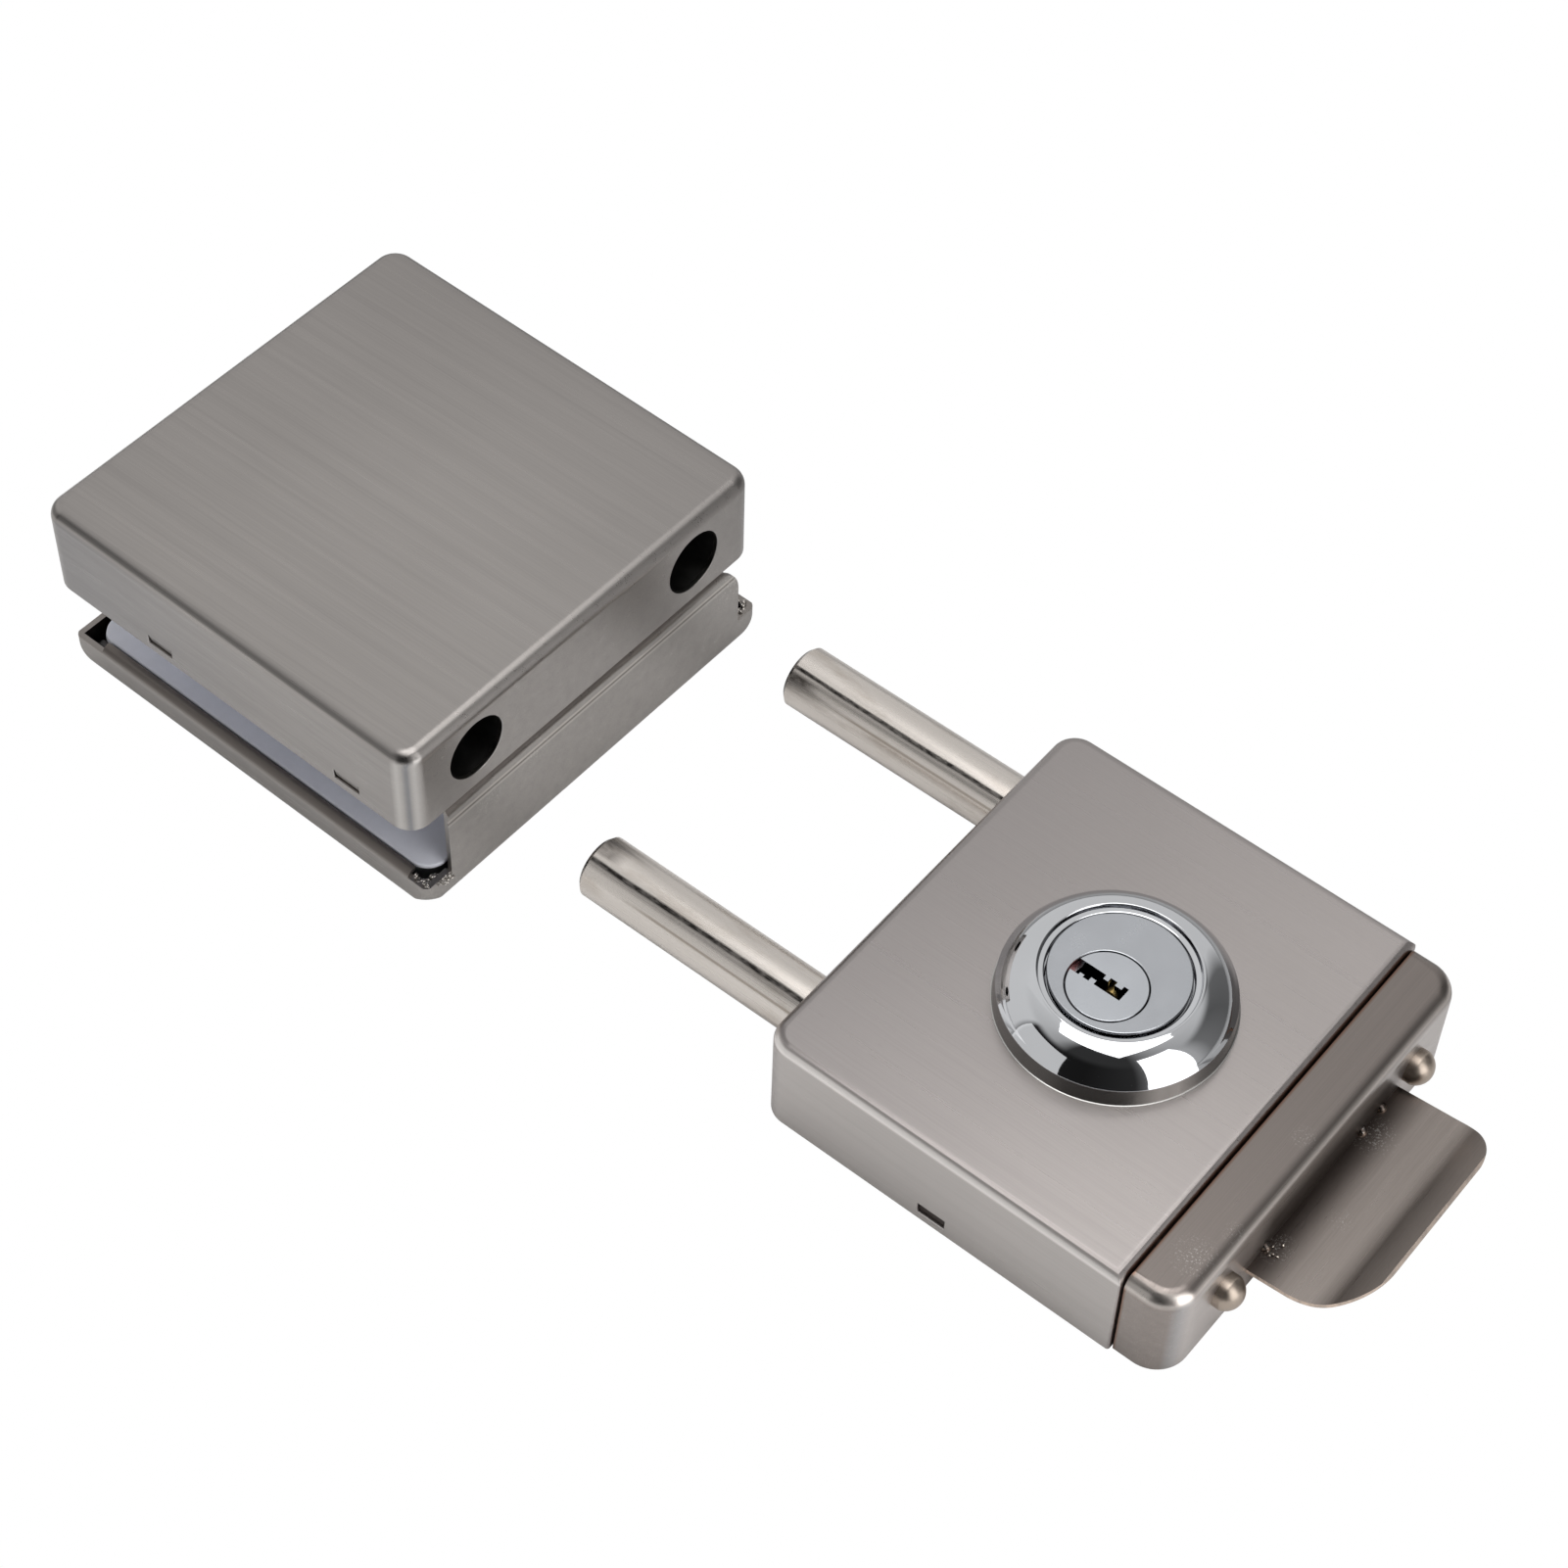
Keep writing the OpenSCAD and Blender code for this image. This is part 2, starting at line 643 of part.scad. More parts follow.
// The keyway seen from the face: a slot open to the plug's edge, with four ribs
module keyway() {
    ribs = [[-1.5, 1, 0.95, 1], [0.9, 1.4, 0.85, 1], [-3.2, 1.1, 0.9, -1], [-5.3, 0.9, 0.55, -1]];
    difference() {
        translate([-plug_head_r - bite, -keyway_down])
            square([plug_head_r + bite + keyway_end, keyway_down + keyway_up]);
        for (rib = ribs)
            translate([rib[0], rib[3] > 0 ? keyway_up - rib[2] : -keyway_down - bite])
                square([rib[1], rib[2] + bite]);
    }
}

module cylinder_plug() {
    color([0.77, 0.79, 0.81]) difference() {
        at_plug() {
            translate([0, 0, plug_z]) cylinder(h = face_z - plug_z, r = plug_r);
            translate([0, 0, head_z]) cylinder(h = head_t, r = plug_head_r);
            translate([-tail_w / 2, -tail_w / 2, cam_z]) cube([tail_w, tail_w, cam_t + bite]);
        }
        at_plug() translate([0, 0, face_z - keyway_depth]) linear_extrude(far) keyway();
        at_plug() translate([0, 0, cam_z - bite])
            cylinder(h = face_z - keyway_depth - cam_z, r = cam_screw_r);
        each_pin() cylinder(h = plug_r + bite, r = pin_bore_r);
    }
}

module key_pins() {
    tip = keyway_up - pin_r;
    color([0.8, 0.66, 0.32])
        each_pin() translate([0, 0, tip]) cylinder(h = shear_y - tip, r = pin_r);
}

module locking_cam() {
    color([0.66, 0.66, 0.68]) at_plug() translate([0, 0, cam_z]) difference() {
        union() {
            cylinder(h = cam_t, r = cam_hub_r);
            translate([0, -cam_w / 2, 0]) cube([tip_centre, cam_w, cam_t]);
            translate([tip_centre, 0, 0]) cylinder(h = cam_t, r = cam_tip_r);
        }
        translate([-tail_w / 2, -tail_w / 2, -bite]) cube([tail_w, tail_w, cam_t + 2 * bite]);
    }
}

module cam_screw() {
    head = tail_w / 2 + cam_screw_r / 2;
    socket = 0.8 * cam_screw_r;
    color([0.55, 0.56, 0.58]) at_plug() difference() {
        union() {
            translate([0, 0, cam_z - cam_screw_h]) cylinder(h = cam_screw_h, r = head);
            translate([0, 0, cam_z - bite])
                cylinder(h = face_z - keyway_depth - cam_z - bite, r = cam_screw_r);
        }
        translate([0, 0, cam_z - cam_screw_h - bite]) cylinder(h = cam_screw_h, r = socket, $fn = 6);
    }
}

// A rod from its chamfered tip to the bar in the end cap
module rod(side) {
    tip = rod_face - throw;
    at_rod(side) difference() {
        union() {
            bar(rod_r, tip + rod_chamfer, bridge_x);
            translate([tip, 0, 0]) rotate([0, 90, 0])
                cylinder(h = rod_chamfer, r1 = rod_r - rod_chamfer, r2 = rod_r);
        }
        bar(rivet_d / 2, bridge_x - rivet_depth, bridge_x + bite);
    }
}

// Cross slots that take the cam, one with the rods thrown and one with them drawn
module lower_rod() {
    color([0.78, 0.76, 0.72]) difference() {
        rod(-1);
        for (x = [0, -throw])
            translate([x - notch_near, -notch_y, 0])
                cube([notch_near + notch_far, notch_y, notch_high]);
    }
}

module upper_rod() {
    color([0.78, 0.76, 0.72]) rod(1);
}

module stop_ring(side) {
    color([0.3, 0.3, 0.32]) at_rod(side) difference() {
        bar(collar_r, stop_x, stop_x + stop_t);
        bar(rod_r, stop_x - bite, stop_x + stop_t + bite);
    }
}

module rod_bridge() {
    color([0.6, 0.6, 0.61]) difference() {
        translate([bridge_x, -bridge_w / 2, rod_z - bridge_h / 2]) cube([bridge_t, bridge_w, bridge_h]);
        for (side = [-1, 1]) at_rod(side) bar(rivet_d / 2, bridge_x - bite, cap_end);
    }
}

// The solid of the end cap, taken in by a sheet's thickness for its inside
module cap_form(start, inset, top, edge_r) {
    end = cap_end - inset;
    w = cap_w - 2 * inset;
    bend = cap_bend_r - inset;
    difference() {
        intersection() {
            translate([0, 0, cap_lift]) linear_extrude(top - cap_lift)
                outline(start, end, w, edge_r, cap_corner_r - inset);
            along_x(start, end) side_view(-w / 2, w / 2, cap_lift, top, bend, bend);
            along_y(w) side_view(start, end, cap_lift, top, edge_r, bend);
        }
        corner_cuts(end - cap_corner_r + inset, w, 0, cap_corner_r - inset, bend, top);
    }
}

module end_cap() {
    top = body_h - cap_drop;
    edge_r = cap_sheet / 4;
    color([0.6, 0.57, 0.55]) difference() {
        cap_form(cap_start, 0, top, edge_r);
        translate([0, 0, -bite])
            cap_form(cap_start - cap_corner_r, cap_sheet, top - cap_sheet + bite, edge_r);
        for (side = [-1, 1]) at_rod(side) bar(rivet_d / 2, bridge_x, cap_end + bite);
    }
}

// A point of the finger pull's scoop, from its angle and its radius
function scoop(angle, r) = [scoop_x + r * sin(angle), scoop_z - r * cos(angle)];

// The finger pull from the side: flat root, scoop and straight lip
module pull_section() {
    outer = pull_scoop_r + pull_t;
    lip = pull_lip * [cos(pull_angle), sin(pull_angle)];
    bend = (pull_angle - pull_rise) / scoop_steps;
    under = [for (i = [0 : scoop_steps]) scoop(pull_rise + bend * i, outer)];
    over = [for (i = [scoop_steps : -1 : 0]) scoop(pull_rise + bend * i, pull_scoop_r)];
    polygon(concat([[cap_end, pull_z - pull_t / cos(pull_rise)]], under, [scoop(pull_angle, outer) + lip,
        scoop(pull_angle, pull_scoop_r) + lip], over, [[cap_end, pull_z]]));
}

module finger_pull() {
    end_x = scoop_x + (pull_scoop_r + pull_t) * sin(pull_angle) + pull_lip * cos(pull_angle);
    weld_at = [-0.38 * pull_w, 0.25 * pull_w, 0.38 * pull_w];
    color([0.6, 0.57, 0.55]) translate([0, pull_shift, pull_z]) rotate([pull_tilt, 0, 0])
        translate([0, 0, -pull_z]) {
            intersection() {
                along_y(pull_w) pull_section();
                linear_extrude(body_h * 2)
                    outline(cap_end - 2 * sheet, end_x, pull_w, sheet, pull_corner_r);
                linear_extrude(body_h * 2) translate([0, pull_w / 2])
                    outline(cap_end - 2 * sheet, end_x, 2 * pull_w, sheet, pull_low_r);
            }
            for (y = weld_at)
                intersection() {
                    translate([cap_end, y, pull_z]) sphere(weld_r);
                    translate([cap_end, y - 2 * weld_r, pull_z - pull_t / 2]) cube(4 * weld_r);
                }
        }
}

module rivet(side) {
    head = rivet_head_d / 2;
    ball_r = (pow(head, 2) + pow(rivet_dome, 2)) / (2 * rivet_dome);
    shank = cap_end - bridge_x + rivet_depth;
    color([0.62, 0.6, 0.57]) at_rod(side) translate([cap_end, 0, 0]) rotate([0, 90, 0])
        rotate_extrude() {
            translate([0, -shank]) square([rivet_d / 2, shank + bite]);
            square([head, rivet_rim]);
            intersection() {
                translate([0, rivet_rim + rivet_dome - ball_r]) circle(ball_r, $fn = 128);
                translate([0, rivet_rim]) square([head, rivet_dome + bite]);
            }
        }
}

// A snap tongue: a strip of the wall pushed in along its lower edge
module tongue(x) {
    top = tongue_z + tongue_h;
    free = top - tongue_h + tongue_slit;
    out = -half + tongue_push;
    translate([x - tongue_l / 2 + tongue_slit, 0, 0])
        along_x(0, tongue_l - 2 * tongue_slit)
            polygon([[-half, top], [-half + sheet, top], [out + sheet, free], [out, free]]);
}

module strike_cover() {
    color([0.6, 0.59, 0.57]) at_strike() {
        difference() {
            cover_form(-half, half, strike_w, strike_cover_z, strike_h,
                strike_corner_r, strike_corner_r, strike_bend_r, strike_bend_r);
            translate([0, 0, -bite])
                cover_form(-half + sheet, half - sheet, strike_w - 2 * sheet, strike_cover_z,
                    strike_h - sheet + bite, strike_corner_r - sheet, strike_corner_r - sheet,
                    strike_bend_r - sheet, strike_bend_r - sheet);
            for (side = [-1, 1]) {
                translate([0, side * rod_y, socket_z]) bar(rod_hole_r, half - 2 * sheet, half + bite);
                for (x = tongue_x)
                    translate([x - tongue_l / 2, side * half - sheet - bite, tongue_z])
                        cube([tongue_l, 2 * (sheet + bite), tongue_h]);
            }
        }
        for (x = tongue_x) {
            tongue(x);
            mirror([0, 1, 0]) tongue(x);
        }
    }
}

module strike_bracket() {
    shelf_half = half - sheet - fit_gap;
    wall_l = strike_w - 6 * strike_corner_r;
    wall_up = 3 * bracket_t;
    nut_up = 1.5 * bracket_t;
    window_w = tongue_l + 2 * travel_gap;
    nut_out = clamp_screw_r + bracket_t;
    color([0.5, 0.51, 0.54]) at_strike() difference() {
        union() {
            translate([0, 0, shelf_z]) linear_extrude(shelf_t)
                outline(-shelf_half, shelf_half, 2 * shelf_half, strike_corner_r, strike_corner_r);
            for (side = [-1, 1])
                translate([-wall_l / 2, side * (shelf_half - shelf_t / 2) - shelf_t / 2, shelf_z])
                    cube([wall_l, shelf_t, shelf_t + wall_up]);
            for (x = screws_x, y = screws_y)
                translate([x, y, shelf_z]) cylinder(h = shelf_t + nut_up, r = nut_out);
            translate([web_x, -web_w / 2, plate_z]) cube([bracket_t, web_w, shelf_z - plate_z + bite]);
            translate([0, back_shift, plate_z]) linear_extrude(bracket_t)
                outline(plate_x, web_x + bracket_t, plate_w, strike_corner_r, strike_corner_r);
            for (x = [-boss_at, boss_at], y = [-boss_at, boss_at])
                translate([x, y, sheet]) cylinder(h = plate_z - sheet + bite, r = boss_r);
        }
        for (x = screws_x, y = screws_y)
            translate([x, y, shelf_z - bite]) cylinder(h = strike_h, r = clamp_screw_r + run_gap);
        for (x = tongue_x, side = [-1, 1])
            translate([x - window_w / 2, side * half - sheet - shelf_t, tongue_z - travel_gap])
                cube([window_w, 2 * (sheet + shelf_t), tongue_h + 2 * travel_gap]);
    }
}

// A blind tube that takes the end of a rod
module socket(side) {
    closed = half - socket_depth;
    color([0.66, 0.66, 0.67]) at_strike() translate([0, side * rod_y, socket_z]) difference() {
        bar(rod_hole_r + socket_wall, closed - sheet, half - sheet);
        bar(rod_hole_r, closed, half);
    }
}

// The low tray of the back shell before it is opened at the top
module tray_form(inset, z1, z2, top_r, low_r) {
    x = back_x - inset;
    w = back_w - 2 * inset;
    difference() {
        intersection() {
            translate([0, 0, z1]) linear_extrude(z2 - z1)
                outline(-x, x, w, back_corner_r - inset, back_corner_r - inset);
            along_x(-x, x) round_view(-w / 2, w / 2, z1, z2, top_r, low_r);
            along_y(w) round_view(-x, x, z1, z2, top_r, low_r);
        }
        for (c = [[1, 1, 0], [-1, 1, 90], [-1, -1, 180], [1, -1, 270]]) mirror([0, 0, 1])
            corner_cut(c[0] * (back_x - crown_at), c[1] * (back_w / 2 - crown_at), c[2],
                crown_reach - inset, crown_r - inset, -z1);
    }
}

// A side view with the upper and the lower corners rounded
module round_view(a, b, z1, z2, top_r, low_r) {
    mid = (z1 + z2) / 2;
    side_view(a, b, mid, z2, top_r, top_r);
    mirror([0, 1]) side_view(a, b, -mid - bite, -z1, low_r, low_r);
}

module back_shell() {
    lip_x = back_x - rim_lip;
    open_w = back_w - 2 * rim_lip;
    notch_z = rim_h - corner_drop;
    open_out = corner_open + bite;
    edge_w = (back_w - flange_w) / 2 + abs(flange_shift) + bite;
    color([0.6, 0.59, 0.57]) at_strike() translate([0, back_shift, 0]) difference() {
        union() {
            tray_form(0, 0, rim_h, bend_r, floor_bend_r);
            flange_form(0, flange_w, flange_z, bend_r, flange_low_r, flange_corner_r);
        }
        tray_form(sheet, sheet, rim_h - sheet, bend_r - sheet, floor_bend_r - sheet);
        flange_form(sheet, flange_w + bite, flange_z - sheet, bend_r - sheet, sheet / 2, sheet / 2);
        translate([-lip_x, -open_w / 2, rim_h / 2]) cube([lip_x + back_x - bend_r, open_w, far]);
        for (side = [-1, 1]) {
            translate([-back_x - bite, side * (back_w + bite - corner_open) / 2 - open_out / 2, notch_z])
                cube(open_out);
            translate([back_x - corner_slit, flange_shift + side * (flange_w + edge_w) / 2, notch_z])
                translate([0, -edge_w / 2, 0]) cube([corner_slit + bite, edge_w, far]);
        }
    }
}

// The upright flange with its rounded upper corners and its bend over the glass mouth
module flange_form(inset, w, top, bend, low_corner, corner) {
    translate([0, flange_shift, 0]) intersection() {
        along_y(w) side_view(back_x - 3 * bend_r, back_x - inset, rim_h / 2, top, sheet / 2, bend);
        along_x(0, back_x) side_view(-w / 2, w / 2, rim_h / 2, top, low_corner, corner);
    }
}

module back_pad() {
    color([0.58, 0.59, 0.67]) at_strike() translate([0, back_shift, plate_top]) difference() {
        linear_extrude(strike_pad_t)
            outline(plate_x + pad_step, web_x + bracket_t + travel_gap, plate_w - 2 * pad_step,
                strike_corner_r - pad_step, strike_corner_r - pad_step);
        translate([web_x - travel_gap, -web_w / 2 - back_shift - travel_gap, -bite])
            cube([2 * bracket_t, web_w + 2 * travel_gap, strike_pad_t + 2 * bite]);
    }
}

module clamp_outline(inset) {
    outline(-half + 3 * sheet + inset, web_x - travel_gap - inset, strike_w - 8 * sheet - 2 * inset,
        strike_corner_r, strike_corner_r);
}

module clamp_plate() {
    color([0.5, 0.51, 0.54]) at_strike()
        translate([0, 0, clamp_z]) linear_extrude(clamp_t) clamp_outline(0);
}

module clamp_pad() {
    color([0.58, 0.59, 0.67]) at_strike()
        translate([0, 0, clamp_z - strike_pad_t]) linear_extrude(strike_pad_t) clamp_outline(sheet);
}

module clamp_screw(x, y) {
    base = clamp_z + clamp_t;
    socket_r = 0.55 * clamp_screw_r;
    hex_z = clamp_screw_l - clamp_screw_r;
    color([0.35, 0.35, 0.37]) at_strike() translate([x, y, base]) difference() {
        cylinder(h = clamp_screw_l, r = clamp_screw_r);
        translate([0, 0, hex_z]) cylinder(h = clamp_screw_r + bite, r = socket_r, $fn = 6);
    }
}

lock_cover();
lock_chassis();
lock_glass_pad();
front_bush(-1);  // lower_front_bush
rear_bush(-1);  // lower_rear_bush
front_bush(1);  // upper_front_bush
rear_bush(1);  // upper_rear_bush
rosette();
cylinder_body();
cylinder_nut();
driver_pins();
pin_springs();
pin_caps();
cylinder_plug();
key_pins();
locking_cam();
cam_screw();
lower_rod();
upper_rod();
stop_ring(-1);  // lower_stop_ring
stop_ring(1);  // upper_stop_ring
rod_bridge();
end_cap();
finger_pull();
rivet(-1);  // lower_rivet
rivet(1);  // upper_rivet
strike_cover();
strike_bracket();
socket(-1);  // lower_socket
socket(1);  // upper_socket
back_shell();
back_pad();
clamp_plate();
clamp_pad();
clamp_screw(-clamp_screw_x, -clamp_screw_y);  // clamp_screw_1
clamp_screw(-clamp_screw_x, clamp_screw_y);  // clamp_screw_2
clamp_screw(clamp_screw_x, -clamp_screw_y);  // clamp_screw_3
clamp_screw(clamp_screw_x, clamp_screw_y);  // clamp_screw_4
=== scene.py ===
import json
import math

import bmesh
import bpy
from mathutils import Matrix, Vector


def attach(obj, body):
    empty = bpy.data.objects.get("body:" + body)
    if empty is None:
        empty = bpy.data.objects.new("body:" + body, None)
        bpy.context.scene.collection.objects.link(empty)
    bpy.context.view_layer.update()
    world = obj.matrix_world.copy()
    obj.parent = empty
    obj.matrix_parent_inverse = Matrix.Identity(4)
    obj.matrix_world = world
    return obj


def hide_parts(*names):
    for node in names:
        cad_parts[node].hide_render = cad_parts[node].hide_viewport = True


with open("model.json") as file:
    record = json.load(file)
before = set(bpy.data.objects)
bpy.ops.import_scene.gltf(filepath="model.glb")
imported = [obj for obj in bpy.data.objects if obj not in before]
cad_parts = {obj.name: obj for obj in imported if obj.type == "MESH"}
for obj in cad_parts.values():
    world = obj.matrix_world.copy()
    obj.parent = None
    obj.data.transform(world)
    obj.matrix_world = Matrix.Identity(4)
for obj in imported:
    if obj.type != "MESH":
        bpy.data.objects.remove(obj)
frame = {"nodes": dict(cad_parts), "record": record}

mm = 0.001
scene = bpy.context.scene
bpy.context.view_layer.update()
print("frame loaded", len(frame["nodes"]), "nodes")


# helpers for node trees: a value is a number or a socket

def calc(tree, operation, *values):
    node = tree.nodes.new("ShaderNodeMath")
    node.operation = operation
    for socket, value in zip(node.inputs, values):
        if isinstance(value, (int, float)):
            socket.default_value = value
        else:
            tree.links.new(value, socket)
    return node.outputs[0]


def product(tree, result, *others):
    for value in others:
        result = calc(tree, "MULTIPLY", result, value)
    return result


def spread(tree, value, low, high, outLow, outHigh, kind="LINEAR"):
    ranged = tree.nodes.new("ShaderNodeMapRange")
    ranged.interpolation_type = kind
    ranged.inputs["From Min"].default_value = low
    ranged.inputs["From Max"].default_value = high
    ranged.inputs["To Min"].default_value = outLow
    ranged.inputs["To Max"].default_value = outHigh
    tree.links.new(value, ranged.inputs["Value"])
    return ranged.outputs[0]


def axisOf(tree, vector, axis):
    split = tree.nodes.new("ShaderNodeSeparateXYZ")
    tree.links.new(vector, split.inputs[0])
    return split.outputs[axis]


def mixValues(tree, share, a, b):
    mix = tree.nodes.new("ShaderNodeMix")
    tree.links.new(share, mix.inputs["Factor"])
    for socket, value in zip(mix.inputs[2:4], (a, b)):
        if isinstance(value, float):
            socket.default_value = value
        else:
            tree.links.new(value, socket)
    return mix.outputs[0]


def mixColors(tree, share, a, b):
    mix = tree.nodes.new("ShaderNodeMix")
    mix.data_type = "RGBA"
    tree.links.new(share, mix.inputs["Factor"])
    for socket, value in zip(mix.inputs[6:8], (a, b)):
        if isinstance(value, bpy.types.NodeSocket):
            tree.links.new(value, socket)
        else:
            socket.default_value = (*value, 1)
    return mix.outputs[2]


def toneRamp(tree, value, stops):
    ramp = tree.nodes.new("ShaderNodeValToRGB")
    elements = ramp.color_ramp.elements
    elements[0].position = stops[0][0]
    while len(elements) < len(stops):
        elements.new(0.5)
    for element, (place, tone) in zip(elements, stops):
        element.position = place
        element.color = (tone, tone, tone, 1)
    tree.links.new(value, ramp.inputs[0])
    return ramp.outputs[0]


def whiteToCamera(tree, whiteNode, seenByLight, outNode):
    white = tree.nodes.new(whiteNode)
    white.inputs["Color"].default_value = (1, 1, 1, 1)
    rays = tree.nodes.new("ShaderNodeLightPath")
    mix = tree.nodes.new("ShaderNodeMixShader")
    tree.links.new(rays.outputs["Is Camera Ray"], mix.inputs[0])
    tree.links.new(seenByLight, mix.inputs[1])
    tree.links.new(white.outputs[0], mix.inputs[2])
    out = tree.nodes.new(outNode)
    tree.links.new(mix.outputs[0], out.inputs[0])


# camera and studio

cameraSetup = {
    "position": (169.486, -320.356, 537.344),  # mm
    "turn": (38.0056, -1.3709, 38.9936),  # degrees
    "lens": 82.75,
    "sensor": 36.0,
    "clip": (0.01, 20),  # metres
}


def addCamera(setup):
    data = bpy.data.cameras.new("productCamera")
    data.lens = setup["lens"]
    data.sensor_width = setup["sensor"]
    data.clip_start, data.clip_end = setup["clip"]
    camera = bpy.data.objects.new("productCamera", data)
    camera.location = Vector(setup["position"]) * mm
    camera.rotation_euler = [math.radians(a) for a in setup["turn"]]
    scene.collection.objects.link(camera)
    scene.camera = camera


addCamera(cameraSetup)

studio = {
    "floorSize": 6.0,  # metres
    "floorDrop": 0.2,  # mm below the lock
    # painted light and shade on the floor, lighter to the front and darker to the back: Y in mm,
    # value
    "floorTones": [(-220, 0.98), (-70, 0.98), (20, 0.95), (110, 0.5)],
    # brightness round the horizon: share of a turn from -X over -Y, value
    "horizon": [
        (0.00, 0.76), (0.10, 0.74), (0.118, 0.015), (0.27, 0.012), (0.29, 0.012), (0.40, 0.03),
        (0.46, 0.3), (0.545, 0.5), (0.58, 0.2), (0.66, 0.12), (0.72, 0.16), (0.75, 0.7),
        (0.80, 0.72), (1.00, 0.76),
    ],
    # brightness higher up, over the same turn
    "upper": [
        (0.00, 0.72), (0.10, 0.62), (0.17, 0.45), (0.22, 0.04), (0.40, 0.04), (0.47, 0.3),
        (0.56, 0.5), (0.64, 0.6), (0.74, 0.72), (0.86, 0.82), (1.00, 0.78),
    ],
    "upperFrom": (0.62, 0.78),  # sine of the height where the horizon gives way
    # soft panels: place and aim in metres, width and height, brightness
    "panels": {
        "sidePanel": ((-0.32, -0.62, 0.25), (0, 0, 0.25), (0.56, 0.56), 0.7),
        "endPanel": ((0.694, -0.091, 0.55), (0, 0, 0.55), (0.5, 1.1), 2.2),
        "topPanel": ((0.0, 0.0, 0.9), (0, 0, 0), (0.62, 0.62), 2.4),
    },
}


def addPanel(name, place, aim, size, brightness):
    data = bpy.data.lights.new(name, "AREA")
    data.shape = "RECTANGLE"
    data.size, data.size_y = size
    data.energy = brightness * math.pi * size[0] * size[1]
    lamp = bpy.data.objects.new(name, data)
    lamp.location = place
    lamp.rotation_euler = (Vector(aim) - Vector(place)).to_track_quat("-Z", "Y").to_euler()
    scene.collection.objects.link(lamp)


def addWorld(values):
    world = bpy.data.worlds.new("studioWorld")
    scene.world = world
    world.use_nodes = True
    tree = world.node_tree
    tree.nodes.clear()
    coords = tree.nodes.new("ShaderNodeTexCoord").outputs["Generated"]
    turn = calc(tree, "ARCTAN2", axisOf(tree, coords, "Y"), axisOf(tree, coords, "X"))
    share = calc(tree, "ADD", calc(tree, "DIVIDE", turn, 2 * math.pi), 0.5)
    around = toneRamp(tree, share, values["horizon"])
    above = toneRamp(tree, share, values["upper"])
    height = axisOf(tree, coords, "Z")
    rise = spread(tree, height, *values["upperFrom"], 0.0, 1.0, "SMOOTHSTEP")
    sky = tree.nodes.new("ShaderNodeBackground")
    tree.links.new(mixValues(tree, rise, around, above), sky.inputs["Color"])
    whiteToCamera(tree, "ShaderNodeBackground", sky.outputs[0], "ShaderNodeOutputWorld")


def addFloor(values):
    bpy.ops.mesh.primitive_plane_add(size=values["floorSize"], location=(0, 0, 0))
    floor = bpy.context.object
    floor.name = "floor"
    floor.location.z = -values["floorDrop"] * mm
    mat = bpy.data.materials.new("paleFloor")
    mat.use_nodes = True
    tree = mat.node_tree
    tree.nodes.clear()
    matte = tree.nodes.new("ShaderNodeBsdfDiffuse")
    coords = tree.nodes.new("ShaderNodeTexCoord").outputs["Object"]
    low, high = values["floorTones"][0][0], values["floorTones"][-1][0]
    across = spread(tree, axisOf(tree, coords, "Y"), low * mm, high * mm, 0.0, 1.0)
    stops = [((y - low) / (high - low), tone) for y, tone in values["floorTones"]]
    tree.links.new(toneRamp(tree, across, stops), matte.inputs["Color"])
    whiteToCamera(tree, "ShaderNodeEmission", matte.outputs[0], "ShaderNodeOutputMaterial")
    floor.data.materials.append(mat)


addWorld(studio)
addFloor(studio)
for panelName, panelValues in studio["panels"].items():
    addPanel(panelName, *panelValues)
scene.view_settings.view_transform = "Standard"
print("studio ready")


# patterns that the finishes share

def addNoise(tree, coords, scale, detail=2.0, rough=0.5, turn=0.0):
    mapping = tree.nodes.new("ShaderNodeMapping")
    mapping.inputs["Scale"].default_value = (scale,) * 3 if isinstance(scale, int) else scale
    mapping.inputs["Rotation"].default_value = (0, 0, turn)
    noise = tree.nodes.new("ShaderNodeTexNoise")
    noise.inputs["Scale"].default_value = 1.0
    noise.inputs["Detail"].default_value = detail
    noise.inputs["Roughness"].default_value = rough
    tree.links.new(coords, mapping.inputs["Vector"])
    tree.links.new(mapping.outputs[0], noise.inputs["Vector"])
    return noise.outputs["Fac"]


def addBump(tree, shader, height, depth):  # depth in mm
    bump = tree.nodes.new("ShaderNodeBump")
    bump.inputs["Strength"].default_value = 1.0
    bump.inputs["Distance"].default_value = depth * mm
    tree.links.new(height, bump.inputs["Height"])
    tree.links.new(bump.outputs[0], shader.inputs["Normal"])


def along(tree, coords, axis, reach, shares):  # reach in mm
    return spread(tree, axisOf(tree, coords, axis), reach[0] * mm, reach[1] * mm, *shares)


def facingOn(tree, axis):
    return axisOf(tree, tree.nodes.new("ShaderNodeNewGeometry").outputs["Normal"], axis)


def facing(tree, axis, limits, shares):
    return spread(tree, facingOn(tree, axis), *limits, *shares)


def distanceFrom(tree, coords, place):
    gap = tree.nodes.new("ShaderNodeVectorMath")
    gap.operation = "DISTANCE"
    tree.links.new(coords, gap.inputs[0])
    gap.inputs[1].default_value = Vector(place) * mm
    return gap.outputs["Value"]


def band(tree, value, edges, unit=1.0):  # edges: starts, full, fades, ends
    start, full, fade, end = [edge * unit for edge in edges]
    rise = spread(tree, value, start, full, 0.0, 1.0)
    return product(tree, rise, spread(tree, value, fade, end, 1.0, 0.0))


# a painted line along a bend that leans to the front: a pale tone gives a painted highlight, a
# dark tone painted shade; edges on the normal's Z
def paintedBendLine(tree, color, edges, tone, share):
    front = facing(tree, "Y", (-0.1, -0.25), (0.0, share))
    strip = band(tree, facingOn(tree, "Z"), edges)
    return mixColors(tree, product(tree, strip, front), color, tone)
